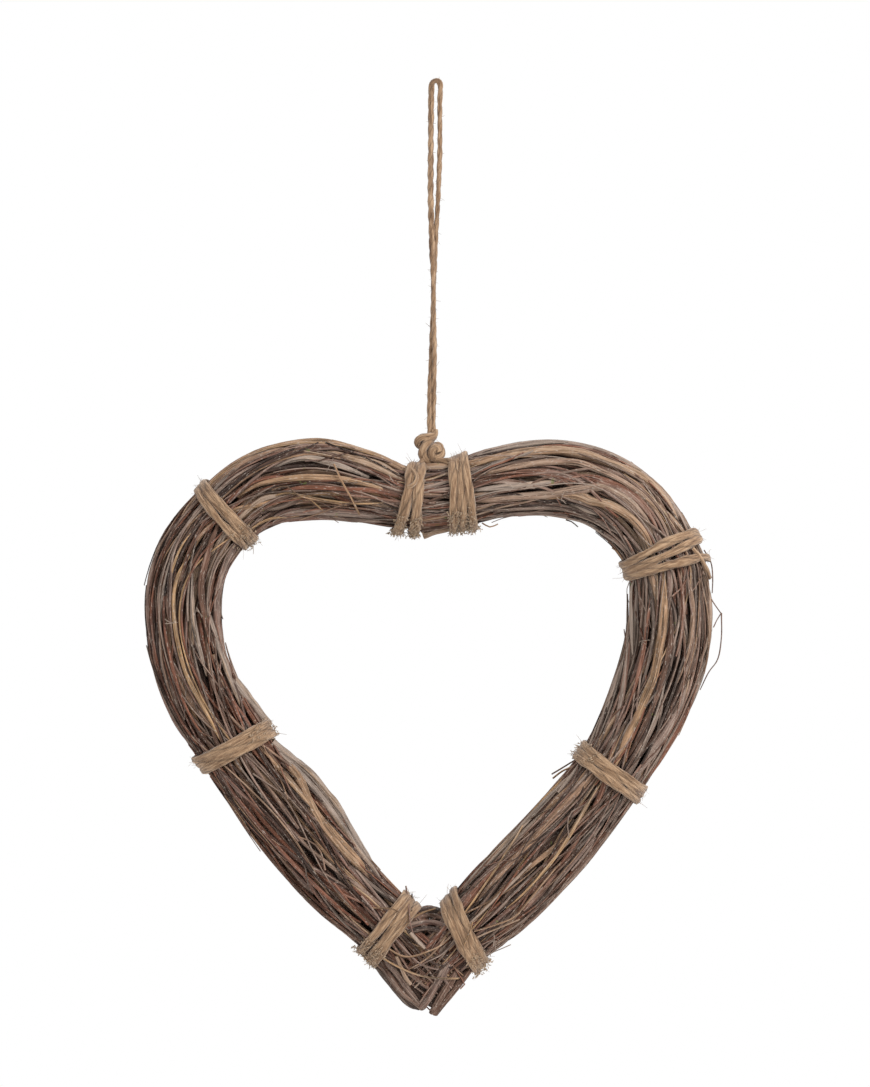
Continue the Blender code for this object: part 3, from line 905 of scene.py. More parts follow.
RIGHT_VINES = {
    "rim of the right lobe": (7.5, 0.2, MAUVE, 0.4,
     ((446, 461), (465, 457), (497, 447), (526, 441), (555, 439), (582, 441), (603, 450),
      (631, 465), (651, 478), (670, 497), (686, 517), (697, 536), (704, 556))),
    "thick tan vine over the middle": (10.5, 0.3, TAN, 0.1,
     ((412, 474), (440, 468), (469, 465), (497, 458), (526, 453), (555, 451), (584, 455),
      (603, 462), (631, 473), (651, 485), (666, 502), (678, 522), (687, 542))),
    "second tan vine": (6.5, 0.2, TANNED, 0.15,
     ((462, 479), (490, 473), (517, 467), (547, 463), (574, 463), (597, 471), (622, 483),
      (643, 499), (656, 515), (667, 538), (673, 560))),
    "russet vine of the right lobe": (6, 0.3, RUSSET, 0.1,
     ((548, 473), (566, 474), (593, 480), (622, 492), (641, 507), (654, 527), (661, 550))),
    "chalky vine of the right lobe": (8, 0.5, CHALK, 0.6,
     ((462, 491), (480, 490), (507, 487), (540, 484), (574, 479))),
    "forked vine, upper branch": (9, 0.4, TANNED, 0.15,
     ((462, 503), (484, 501), (507, 498), (545, 495), (574, 491), (599, 487), (614, 493),
      (631, 505), (646, 525), (654, 548))),
    "forked vine, lower branch": (9, 0.4, TAN, 0.2,
     ((500, 499), (545, 496), (574, 495), (588, 501), (607, 505), (628, 517), (643, 534),
      (651, 556), (652, 580))),
    "thin vine under the fork": (4.5, 0.1, BROWN, 0.3,
     ((464, 512), (490, 511), (517, 509), (555, 508), (580, 514), (607, 527), (630, 546))),
    "blue grey sliver": (7, 0.7, CHALK, 0.85,
     ((560, 506), (575, 508), (590, 513), (606, 521))),
    "inner edge of the right lobe": (6, 0.3, MAUVE, 0.4,
     ((462, 527), (484, 522), (507, 517), (540, 516), (574, 520), (603, 533), (624, 551),
      (632, 572))),
    "pale vine of the right arm": (8.5, 0.3, TAN, 0.1,
     ((660, 560), (661, 590), (661, 612), (657, 647), (650, 679), (637, 711), (626, 733),
      (614, 760), (600, 782))),
    "tan vine of the right arm": (5, 0.1, TANNED, 0.1,
     ((684, 556), (687, 581), (690, 611), (688, 638), (682, 662), (674, 690))),
    "orange strip of the right arm": (4.5, 0.3, RUSSET, 0.0,
     ((674, 556), (678, 580), (680, 605), (679, 632), (673, 662))),
    "outer vine of the right arm": (9, 0.25, TANNED, 0.25,
     ((700, 548), (707, 570), (711, 594), (711, 626), (708, 650), (703, 674))),
    "russet outer edge of the right arm": (7, 0.3, RUSSET, 0.0,
     ((703, 668), (697, 688), (687, 711), (670, 738), (656, 763), (642, 788), (624, 814))),
    "grey sliver of the inner edge": (7, 0.65, CHALK, 0.85,
     ((627, 572), (629, 590), (630, 612), (630, 636), (627, 660))),
    "russet twig of the right arm": (4, 0.0, RUSSET, 0.1,
     ((648, 580), (647, 604), (643, 638), (637, 669), (629, 697), (616, 726))),
    "broad mauve vine of the right arm": (10, 0.5, MAUVE, 0.4,
     ((688, 672), (680, 700), (667, 724), (653, 746), (640, 768), (624, 792))),
    "inner edge of the right arm": (7, 0.3, MAUVE, 0.45,
     ((627, 640), (620, 668), (608, 696), (592, 722), (575, 746))),
    "brown vine of the right arm": (6.5, 0.3, BROWN, 0.15,
     ((668, 600), (668, 640), (660, 676), (648, 710), (634, 740), (618, 770))),
    "tan stem of the lower right": (8, 0.35, TANNED, 0.1,
     ((612, 748), (594, 770), (568, 798), (542, 826), (514, 856), (488, 884), (470, 904))),
    "straw twig of the lower right": (3.4, 0.0, STRAW, 0.05,
     ((612, 762), (590, 794), (572, 826), (552, 856), (528, 884), (500, 912))),
    "inner edge of the lower right": (7, 0.4, CHALK, 0.5,
     ((576, 756), (548, 780), (520, 808), (492, 840), (466, 872), (446, 898))),
    "outer edge of the lower right": (8, 0.3, BROWN, 0.2,
     ((634, 802), (608, 836), (578, 872), (546, 906), (514, 936), (488, 958))),
    "right edge of the point": (10, 0.35, RUSSET, 0.15,
     ((494, 952), (478, 970), (464, 985), (452, 998), (441, 1008), (433, 1013))),
}
print("vines laid by hand:", len(LEFT_VINES) + len(RIGHT_VINES))

# %% [markdown]
# ## Laying the bundle
#
# No twig passes through another, and that is what makes a bundle look like one. So the twigs are
# laid as a maker lays them: every few millimetres along the path the bundle is cut, each twig is
# a disc in the cut, discs that overlap push each other apart, thick ones move thin ones, the
# bundle's outline holds them in, and each twig resists a sharp bend from one cut to the next.
# After some rounds the twigs lie beside and over each other and cross at shallow angles.

# %% Lanes and who lies in them
CUT_GAP = 0.006
OVERHANG = 0.018  # how far the path is carried on past its ends
LAYER = 0.0105  # the depth of the loose twigs round the core
CUTS = np.arange(-OVERHANG, BUNDLE.length + OVERHANG, CUT_GAP)
HALF_WIDTHS = BUNDLE.half_width(CUTS)
# kind: (lanes, thinnest and thickest radius, shortest and longest, share of the half width)
TWIG_KINDS = {
    "vine": (7, (0.0019, 0.0028), (0.25, 0.50), 0.85),
    "twig": (60, (0.0010, 0.0018), (0.14, 0.40), 0.86),
    "shoot": (66, (0.0005, 0.0010), (0.10, 0.32), 0.95),
}
TINTS = {
    "vine": ((BROWN, 2), (MAUVE, 3), (TANNED, 3), (TAN, 2), (RUSSET, 1)),
    "twig": ((DARK, 2), (BROWN, 4), (MAUVE, 4), (TANNED, 3), (TAN, 1.5), (RUSSET, 2.5)),
    "shoot": ((DARK, 3), (BROWN, 3), (RUSSET, 3), (MAUVE, 1.5), (TANNED, 1), (STRAW, 0.8)),
}
EDGE_INSET = 0.0006  # how far inside the outline a listed vine keeps
END_SINK = 0.0042  # how far a laid vine's ends go in between the other twigs
END_LENGTH = 0.020  # over this length
THIN_END = 0.012  # every twig thins out over this length at its ends
FEWEST_CUTS = 6  # a twig that would pass no more cuts than this is left out
print("cuts:", len(CUTS), "lanes:", {kind: row[0] for kind, row in TWIG_KINDS.items()})

# %% [markdown]
# A lane is a row of discs, one in each cut, and holds one twig after another. A vine from the lists has
# a lane to itself and is held where it is. All other lanes are filled end to end with twigs of one
# kind, whose lengths, sizes and tints are drawn at random from a fixed seed.

# %% Listed vines get a lane each
class Lanes:
    """Every lane's discs in every cut: where they lie, how big they are and whose they are."""

    def __init__(self):
        self.places = []
        self.sizes = []
        self.owners = []
        self.held = []
        self.twigs = []

    def add_lane(self, places, sizes, owners, held):
        self.places.append(places)
        self.sizes.append(sizes)
        self.owners.append(owners)
        self.held.append(held)

    def stack(self):
        self.places = np.array(self.places, np.float32)
        self.sizes = np.array(self.sizes, np.float32)
        self.owners = np.array(self.owners)
        self.held = np.array(self.held)


def front_depth(half_width, aside, thickness):
    """How deep a vine's middle lies when its front is level with the bundle's."""
    room = np.maximum(half_width - thickness, 1e-4)
    share = np.clip(np.abs(aside) / room, 0.0, 0.985)
    return -(half_width * FRONT_TO_WIDTH - thickness) * np.sqrt(1.0 - share**2)


def lay_vine(lanes, row, low, high):
    width, flat, tint, wash, route = row
    line = smooth_curve([on_photo(*pixel) for pixel in route], 8)
    found = np.array([BUNDLE.locate(place, low, high) for place in line])
    order = np.argsort(found[:, 0])
    along, asides = found[order].T
    inside = (CUTS >= along[0]) & (CUTS <= along[-1])
    half = width * PIXEL / 2
    thickness = half * (1.0 - 0.5 * flat)
    aside = np.interp(CUTS, along, asides)
    limit = HALF_WIDTHS - half - EDGE_INSET
    aside = np.clip(aside, -limit, limit)
    depth = front_depth(HALF_WIDTHS, aside, thickness * 0.8)
    to_end = np.minimum(CUTS - along[0], along[-1] - CUTS)
    sink = END_SINK * np.clip(1.0 - to_end / END_LENGTH, 0.0, 1.0) ** 1.5
    closer = 1.0 - sink / np.hypot(aside, depth)
    aside = aside * closer
    depth = depth * closer
    owner = len(lanes.twigs)
    lanes.twigs.append(dict(kind="laid", flat=flat, tint=tint, wash=wash, radius=half))
    sizes = np.where(inside, math.sqrt(half * thickness), 0.0)
    owners = np.where(inside, owner, -1)
    lanes.add_lane(np.stack([aside, depth], axis=1), sizes, owners, True)


# %% The other lanes are filled at random
def pick_tint(generator, kind):
    tints, weights = zip(*TINTS[kind])
    shares = np.array(weights) / sum(weights)
    return float(generator.choice(tints, p=shares) + generator.normal(0.0, 0.035))


def wander(generator, amount):
    """A slow random sway along the path."""
    sway = np.zeros(len(CUTS))
    for wave in (0.09, 0.17, 0.34):
        turn = generator.uniform(0, 2 * math.pi)
        sway += wave * 3 * amount * np.sin(2 * math.pi * CUTS / wave + turn)
    return sway


def fill_lane(lanes, kind, angle, generator):
    """One lane of twigs of a kind, end to end round the whole path."""
    _, radii, lengths, share = TWIG_KINDS[kind]
    angles = angle + wander(generator, 0.55)
    share = share + 0.06 * wander(generator, 1.0)
    aside = share * HALF_WIDTHS * np.cos(angles)
    depth = share * HALF_WIDTHS * FRONT_TO_WIDTH * np.sin(angles)
    sizes = np.zeros(len(CUTS))
    owners = np.full(len(CUTS), -1)
    start = -int(generator.uniform(0, lengths[1]) / CUT_GAP)
    while start < len(CUTS):
        count = int(generator.uniform(*lengths) / CUT_GAP)
        radius = generator.uniform(*radii)
        taper = np.linspace(1.12, generator.uniform(0.5, 0.85), count)
        if generator.random() < 0.5:
            taper = taper[::-1]
        full = radius * taper * uneven(count, 0.08, generator, 4)
        first = max(start, 0)
        last = min(start + count, len(CUTS))
        if last - first > FEWEST_CUTS:
            owner = len(lanes.twigs)
            flat = generator.uniform(0.0, 0.45) if kind != "shoot" else 0.0
            lanes.twigs.append(dict(
                kind=kind, flat=flat, tint=pick_tint(generator, kind),
                wash=float(generator.beta(1.2, 3.5)), radius=radius,
            ))
            sizes[first:last] = full[first - start:last - start]
            owners[first:last] = owner
        start += count + int(generator.integers(1, 4))
    lanes.add_lane(np.stack([aside, depth], axis=1), sizes, owners, False)


def fill_lanes():
    lanes = Lanes()
    for vines, stretch in zip((LEFT_VINES, RIGHT_VINES), SIDE_STRETCHES):
        for row in vines.values():
            lay_vine(lanes, row, *stretch)
    generator = np.random.default_rng(21)
    for kind, (count, *_) in TWIG_KINDS.items():
        for lane in range(count):
            angle = 2 * math.pi * (lane + generator.uniform(-0.4, 0.4)) / count
            fill_lane(lanes, kind, angle, generator)
    lanes.stack()
    return lanes


LANES = fill_lanes()
print("lanes:", len(LANES.sizes), "twigs:", len(LANES.twigs), "cuts:", len(CUTS))

# %% [markdown]
# Each round compares every pair of discs in every cut at once, as one array sum. That is a few
# million pairs, which takes a tenth of a second, so some dozens of rounds are no burden.

# %% Let the twigs settle
ROUNDS = 46
PUSH = 0.42  # the share of an overlap that a round takes away
PUSH_LIMIT = 0.0012  # metres that a round moves a twig at most
STIFFNESS = 0.5
PULL_IN = 0.00002  # metres a round, towards the core
TIGHTNESS = 0.97  # how much of their radii neighbours keep


def confine(places, sizes, outer, inner):
    """Places brought back between the bundle's outline and its core."""
    room = np.stack([outer - sizes, outer * FRONT_TO_WIDTH - sizes], axis=-1)
    reach = np.sqrt(((places / room) ** 2).sum(-1, keepdims=True))
    places = places / np.maximum(reach, 1.0)
    core = np.stack([inner, inner * FRONT_TO_WIDTH], axis=-1)
    reach = np.sqrt(((places / core) ** 2).sum(-1, keepdims=True))
    return places / np.clip(reach, 1e-3, 1.0)


def smoothed(places, owners):
    """Each place moved towards the middle of its neighbours on the same twig."""
    same = (owners[:, 1:] == owners[:, :-1])[..., None]
    before = places.copy()
    before[:, 1:] = np.where(same, places[:, :-1], places[:, 1:])
    after = places.copy()
    after[:, :-1] = np.where(same, places[:, 1:], places[:, :-1])
    return places + STIFFNESS * ((before + after) / 2 - places)


def settle(lanes):
    places = lanes.places
    sizes = lanes.sizes
    present = sizes > 0
    free = (~lanes.held)[:, None, None]
    touching = (sizes[:, None] + sizes[None]) * TIGHTNESS
    both = present[:, None] & present[None]
    both[np.arange(len(sizes)), np.arange(len(sizes))] = False
    weight = sizes**2 + 1e-12
    yields = weight[None] / (weight[:, None] + weight[None])
    yields = np.where(lanes.held[None, :, None], 1.0, yields)
    outer = np.broadcast_to(HALF_WIDTHS, sizes.shape)
    inner = outer - LAYER
    for _ in range(ROUNDS):
        apart = places[:, None] - places[None]
        gap = np.sqrt((apart**2).sum(-1)) + 1e-7
        overlap = np.where(both, np.clip(touching - gap, 0.0, None), 0.0) * yields
        push = (apart * (overlap / gap)[..., None]).sum(1) * PUSH
        push = np.clip(push, -PUSH_LIMIT, PUSH_LIMIT)
        distance = np.sqrt((places**2).sum(-1, keepdims=True)) + 1e-7
        moved = places + push - PULL_IN * places / distance
        moved = smoothed(moved, lanes.owners)
        moved = confine(moved, sizes, outer, inner)
        places = np.where(free, moved, places).astype(np.float32)
    lanes.places = places
    left = np.where(both, np.clip(touching - gap, 0.0, None), 0.0)
    return float(left[both].mean())


overlap_left = settle(LANES)
print("mean overlap left:", round(overlap_left * 1000, 4), "mm")

# %% [markdown]
# ## Bark
#
# The twigs are vine and birch shoots with their bark on. Each twig has one tint, from near black
# over russet, mauve brown and tan to straw, and some are limewashed, which leaves a chalky film
# in patches and streaks, and pale flecks where lime has caught in the pores. The streaks, cracks
# and patches run along the twig, since they read the grain that the strand tree stored. A few dots
# of moss are left on it too. A cut end shows paler wood: there the face looks along the twig and
# not away from it.

# %% The bark material
BARK_TINTS = (
    (0.00, linear(58, 44, 38)),
    (0.14, linear(90, 65, 52)),
    (0.29, linear(112, 70, 52)),
    (0.43, linear(112, 91, 82)),
    (0.57, linear(128, 100, 80)),
    (0.72, linear(144, 113, 86)),
    (0.86, linear(156, 124, 90)),
    (1.00, linear(126, 111, 101)),
)
CHALK_COLOUR = linear(158, 141, 128)
FLECK_COLOUR = linear(182, 170, 158)
MOSS_COLOUR = linear(104, 112, 58)
CUT_COLOUR = linear(150, 124, 96)


def make_bark(name):
    material, tree, shader = new_material(name, roughness=0.8, specular=0.3)
    grain = read_attribute(tree, "grain", "Vector")
    streaks = noise(tree, grain, (1100.0, 1100.0, 70.0), detail=4.0, roughness=0.6)
    patches = noise(tree, grain, (420.0, 420.0, 26.0), detail=3.0)
    cracks = noise(tree, grain, (620.0, 620.0, 26.0), detail=2.0)
    tint = read_attribute(tree, "tint", "Fac")
    shifted = maths(tree, "ADD", tint, between(tree, patches, 0.3, 0.7, -0.07, 0.07))
    bark = colour_ramp(tree, shifted, BARK_TINTS)

    # Streaks lighten and darken, cracks only darken
    tone = between(tree, streaks, 0.34, 0.66, 0.52, 1.42)
    crack = between(tree, cracks, 0.34, 0.46, 0.42, 1.0)
    bark = blend_colours(tree, 1.0, bark, maths(tree, "MULTIPLY", tone, crack), "MULTIPLY")

    # Limewash lies where the bark is rough, more on some twigs than on others; the wash also carries
    # painted light that makes the top and the right of the heart paler
    wash = read_attribute(tree, "wash", "Fac")
    film = maths(tree, "MULTIPLY", streaks, 0.55)
    film = maths(tree, "ADD", film, maths(tree, "MULTIPLY", patches, 0.45))
    film = maths(tree, "ADD", film, maths(tree, "MULTIPLY", wash, 0.34))
    bark = cover(tree, bark, film, 0.54, 0.86, 0.75, CHALK_COLOUR)

    # Flecks of lime that caught in the pores
    pores = noise(tree, grain, (1500.0, 1500.0, 420.0), detail=2.0)
    bark = cover(tree, bark, pores, 0.60, 0.70, 0.6, FLECK_COLOUR)

    # A few dots of moss
    place = add_node(tree, "ShaderNodeTexCoord").outputs["Object"]
    dots = noise(tree, place, (210.0, 210.0, 210.0), detail=1.0)
    bark = cover(tree, bark, dots, 0.76, 0.80, 0.6, MOSS_COLOUR)

    # The wood of the cut ends
    facing = vector_maths(
        tree,
        "DOT_PRODUCT",
        add_node(tree, "ShaderNodeNewGeometry").outputs["True Normal"],
        read_attribute(tree, "ahead", "Vector"),
    )
    is_end = maths(tree, "GREATER_THAN", maths(tree, "ABSOLUTE", facing), 0.85)
    bark = blend_colours(tree, is_end, bark, (*CUT_COLOUR, 1.0))
    tree.links.new(bark, shader.inputs["Base Color"])
    relief = maths(tree, "ADD", streaks, maths(tree, "MULTIPLY", cracks, 1.2))
    bump = add_node(
        tree, "ShaderNodeBump", {"Strength": 0.9, "Distance": 0.0008, "Height": relief}
    )
    tree.links.new(bump.outputs[0], shader.inputs["Normal"])
    return material


BARK = make_bark("limewashed_bark")
print("bark material:", len(BARK.node_tree.nodes), "nodes")

# %% [markdown]
# ## Ends at the point
#
# At the point of the heart the two ends of the bundle cross. A twig of one side runs on until it
# comes to the other side's outer edge, or it stops where it meets the other side. The cell below
# says how far past the other side's middle line a place lies, and shortens each twig by that.

# %% Where the twigs end at the point
PASSING = 0.86  # the share of the twigs that run on through the crossing
CROSSING_REACH = (-0.009, -0.0018)  # from the other side's outer edge: they stop short of it
CROSSING_LIFT = 0.0030  # crossing twigs rise or sink by up to this
DRAWN_IN = 0.25  # and come nearer to the middle line by up to this share
DRAWING_FROM = 0.05  # both begin this far from the path's ends
DRAWING_LENGTH = 0.03  # and are whole after this length
NEAR_POINT = 0.06  # a twig may stop on this last stretch of the path


class Point:
    """The two sides' middle lines at the heart's point."""

    def __init__(self):
        self.middles = {}
        self.outwards = {}
        self.half_widths = {}
        for side in ("left", "right"):
            s = BUNDLE.bindings["bottom_" + side]
            self.middles[side] = BUNDLE.point(s, 0.0, 0.0)
            self.outwards[side] = BUNDLE.direction(s, 1.0, 0.0)
            self.half_widths[side] = float(BUNDLE.half_width(s))

    def past(self, points, side):
        return (points - self.middles[side]) @ self.outwards[side]

    def keeps(self, points, side, generator):
        """Which points of a twig of this side are short of where it ends."""
        other = "right" if side == "left" else "left"
        if generator.random() < PASSING:
            limit = self.half_widths[other] + generator.uniform(*CROSSING_REACH)
        else:
            limit = generator.uniform(-0.6, 0.8) * self.half_widths[other]
        return self.past(points, other) < limit


POINT = Point()
print("half widths at the point:", {side: round(w, 4) for side, w in POINT.half_widths.items()})

# %% [markdown]
# The discs of one twig become the points of one strand. Each twig thins out at its ends, and each has
# its own share of limewash. On top of that the top and the right of the heart get more of the pale
# film, which is painted light, as from the lamp at the upper right.

# %% From lanes to strands
def runs(owners):
    """The first and last cut of each twig of a lane, as (owner, first, after last)."""
    edges = np.flatnonzero(np.diff(owners)) + 1
    starts = [0, *edges]
    ends = [*edges, len(owners)]
    return [(owners[a], a, b) for a, b in zip(starts, ends) if owners[a] >= 0 and b - a > 4]


def painted_light_wash(points):
    """Painted light: how much more pale limewash film a place gets, more at the top and at the right.
    """
    upwards = np.clip((points[:, 2] + 0.40) / 0.10, -0.6, 1.0)
    rightwards = np.clip(points[:, 0] / 0.10, -1.0, 1.0)
    return 0.10 * upwards + 0.14 * rightwards


def thinned(radius, thinnest, reach):
    """A twig's radius, brought down to this share at its two ends."""
    numbers = np.arange(len(radius))
    from_ends = np.minimum(numbers, numbers[::-1]) * CUT_GAP
    return radius * (thinnest + (1.0 - thinnest) * np.clip(from_ends / reach, 0.0, 1.0))


def strand_of(owner, twig, s, places, sizes, generator):
    aside, depth = places.T
    laid = twig["kind"] == "laid"
    to_end = np.minimum(s, BUNDLE.length - s)
    share = np.clip((DRAWING_FROM - to_end) / DRAWING_LENGTH, 0.0, 1.0)
    if not laid:
        aside = aside * (1.0 - generator.uniform(0.0, DRAWN_IN) * share)
        depth = depth + generator.uniform(-1.0, 1.0) * CROSSING_LIFT * share
    points = BUNDLE.point(s, aside, depth)
    for side in ("left", "right"):
        near = s < NEAR_POINT if side == "left" else s > BUNDLE.length - NEAR_POINT
        if laid or not near.any():
            continue
        kept = np.flatnonzero(POINT.keeps(points, side, generator) | ~near)
        if not len(kept):
            return None
        part = slice(kept[0], kept[-1] + 1)
        points, s, aside, depth, sizes = (v[part] for v in (points, s, aside, depth, sizes))
    if len(points) < 5:
        return None
    outward = BUNDLE.direction(s, aside, depth / FRONT_TO_WIDTH**2 + 1e-6)
    flat = twig["flat"] * (0.75 + 0.25 * np.sin(40.0 * s + owner))
    if laid:
        radius = twig["radius"] * uneven(len(s), 0.07, generator, 3)
        radius = thinned(radius, generator.uniform(0.45, 0.8) * 0.6, THIN_END * 2.5)
    else:
        radius = thinned(sizes * (1.0 + 0.35 * flat), generator.uniform(0.45, 0.8), THIN_END)
    # The twig's own limewash, plus painted light that makes the top and the right paler
    wash = twig["wash"] + painted_light_wash(points) + 0.10 * generator.standard_normal()
    return Strand(points, radius, outward, flat, twig["tint"], wash, phase=owner)


def strands_from_lanes():
    """All twigs as strands, sorted by kind."""
    generator = np.random.default_rng(33)
    found = {kind: [] for kind in ("laid", "vine", "twig", "shoot")}
    for lane in range(len(LANES.sizes)):
        for owner, first, after in runs(LANES.owners[lane]):
            twig = LANES.twigs[owner]
            part = slice(first, after)
            strand = strand_of(
                owner, twig, CUTS[part], LANES.places[lane, part], LANES.sizes[lane, part], generator
            )
            if strand is not None:
                found[twig["kind"]].append(strand)
    return found


STRANDS = strands_from_lanes()
print("strands:", {kind: len(strands) for kind, strands in STRANDS.items()})

# %% [markdown]
# ## The core
#
# Under the loose twigs lie a few thick stems. Hardly anything of them shows, but they keep light from
# passing through the gaps, as they do in the real bundle. Their dark tint is painted shade: it is what
# the gaps between the loose twigs show.

# %% The core's stems
CORE_STEMS = 7
CORE_SIZE = 0.40  # a core stem's radius as a share of the core's
CORE_INSET = 0.022  # how far short of the path's ends the core stops


def core_strands():
    generator = np.random.default_rng(4)
    s = np.arange(CORE_INSET, BUNDLE.length - CORE_INSET, 0.012)
    core = BUNDLE.half_width(s) - LAYER
    strands = []
    for number in range(CORE_STEMS):
        spread = 0.0 if number == 0 else 0.66
        angle = 2 * math.pi * number / (CORE_STEMS - 1) + 0.3
        aside = spread * core * np.cos(angle)
        depth = spread * core * FRONT_TO_WIDTH * np.sin(angle)
        points = BUNDLE.point(s, aside, depth)
        radius = core * CORE_SIZE * uneven(len(s), 0.05, generator, 3)
        # A dark tint for all core stems, painted shade in the gaps between the loose twigs
        strands.append(Strand(points, radius, tint=0.05, wash=0.0, phase=900 + number))
    return strands


BARK_SIZES = dict(Ridge_depth=0.55, Ridge_width=0.0011, Lump_depth=0.35, Lump_length=0.012)
core_stems = make_strands(
    "core_stems", core_strands(), Sides=8, Steps=1, Material=BARK, **BARK_SIZES
)

# %% [markdown]
# ## The twigs
#
# Now the strands become meshes, one piece for each kind. Broad vines have the most sides, as
# their edges show; thin shoots get by with six. The twigs are two pieces, the left and the right
# half, so that no piece grows too large for the files it is kept in.

# %% Grow the twigs
broad_vines = make_strands(
    "broad_vines", STRANDS["laid"] + STRANDS["vine"], Sides=14, Steps=2, Material=BARK,
    Ridge_depth=0.40, Ridge_width=0.0016, Lump_depth=0.28, Lump_length=0.02,
)


def is_left(strand):
    return strand.points[len(strand.points) // 2, 0] < HEART_ACROSS


twigs_left = make_strands(
    "twigs_left", [s for s in STRANDS["twig"] if is_left(s)],
    Sides=8, Steps=2, Material=BARK, **BARK_SIZES
)
twigs_right = make_strands(
    "twigs_right", [s for s in STRANDS["twig"] if not is_left(s)],
    Sides=8, Steps=2, Material=BARK, **BARK_SIZES
)
shoots = make_strands(
    "shoots", STRANDS["shoot"], Sides=6, Steps=1, Material=BARK,
    Ridge_depth=0.3, Ridge_width=0.0008, Lump_depth=0.4, Lump_length=0.010,
)

# %% [markdown]
# ## Bindings
#
# Twine is wound round the bundle in eight places, with its ends at the back. Each turn lies
# against the last one, a little aslant, and the twine is pressed flat by the pull. A row gives a
# binding's turns, how far its outer edge and its inner edge are shifted along the bundle, how
# much wider the band is at the inner edge, how much the strands wander and cross, and how thick
# the twine is as a share of its usual diameter.

# %% The bindings
USUAL_THICKNESS = 1.45  # of a binding's twine, as a share of TWINE_DIAMETER
TWINE_GAP = 0.0040  # from one turn of usual twine to the next
PRESSED = 0.48  # how much of its height the twine loses to the pull
OVERLAP = 0.0005  # how much farther out the last turn lies than the first
BINDING_RING_GAP = 0.0013
# name: (turns, shift at the outer edge, at the inner edge, spread, crossing, twine thickness)
BINDINGS = {
    "top_left": (2, 0.0019, -0.0013, 0.05, 0.0006, 1.95),
    "top_right": (3, 0.0030, -0.0012, 0.00, 0.0006, 1.62),
    "upper_left": (3, 0.0001, 0.0002, 0.25, 0.0008, 1.45),
    "lower_left": (3, 0.0018, -0.0022, 0.05, 0.0007, 1.45),
    "bottom_left": (3, -0.0036, 0.0022, 0.00, 0.0008, 1.50),
    "bottom_right": (3, 0.0056, -0.0059, 0.00, 0.0007, 1.50),
    "upper_right": (3, 0.0001, 0.0019, 0.25, 0.0030, 1.55),
    "lower_right": (3, 0.0000, 0.0000, 0.05, 0.0007, 1.45),
}
print("turns:", {name: row[0] for name, row in BINDINGS.items()})


# %% Wind the twine
def binding_strand(name, number, generator):
    turns, outer, inner, spread, crossing, thickness = BINDINGS[name]
    place = BUNDLE.bindings[name]
    half = float(BUNDLE.half_width(place))
    count = int(turns * 2 * math.pi * half / BINDING_RING_GAP)
    turned = np.linspace(0.0, turns, count)
    angle = 2 * math.pi * turned + math.pi / 2
    side = np.cos(angle)
    size = TWINE_DIAMETER / 2 * thickness
    gap = TWINE_GAP * thickness / USUAL_THICKNESS
    band = (turned - turns / 2) * gap * (1.0 - spread * side)
    slant = (outer + inner) / 2 + (outer - inner) / 2 * side
    sway = crossing * np.interp(
        turned, np.arange(0.0, turns + 0.3, 0.25), generator.standard_normal(int(turns * 4) + 2)
    )
    s = place + band + slant + sway
    out = size * (1.0 - PRESSED) - 0.0002 + 0.0004 * generator.random()
    half_there = BUNDLE.half_width(s) + out + OVERLAP * (turned / turns)
    deep = BUNDLE.half_width(s) * FRONT_TO_WIDTH + out + OVERLAP * (turned / turns)
    points = BUNDLE.point(s, half_there * side, deep * np.sin(angle))
    outward = BUNDLE.direction(s, side, np.sin(angle) / FRONT_TO_WIDTH)
    radius = size * uneven(count, 0.10, generator, 10)
    return Strand(points, radius, outward, PRESSED, phase=number)


def make_bindings(strands):
    pieces = {}
    for name, strand in strands.items():
        pieces["binding_" + name] = make_strands(
            "twine_" + name, [strand],
            Sides=20, Steps=1, Plies=2, Ply_depth=0.16, Lay_length=0.045,
            Ridge_depth=0.80, Ridge_width=0.0010, Lump_depth=0.3, Lump_length=0.009,
            Material=JUTE,
        )
    return pieces


twine_generator = np.random.default_rng(14)
BINDING_STRANDS = {
    name: binding_strand(name, number, twine_generator) for number, name in enumerate(BINDINGS)
}
bindings = make_bindings(BINDING_STRANDS)
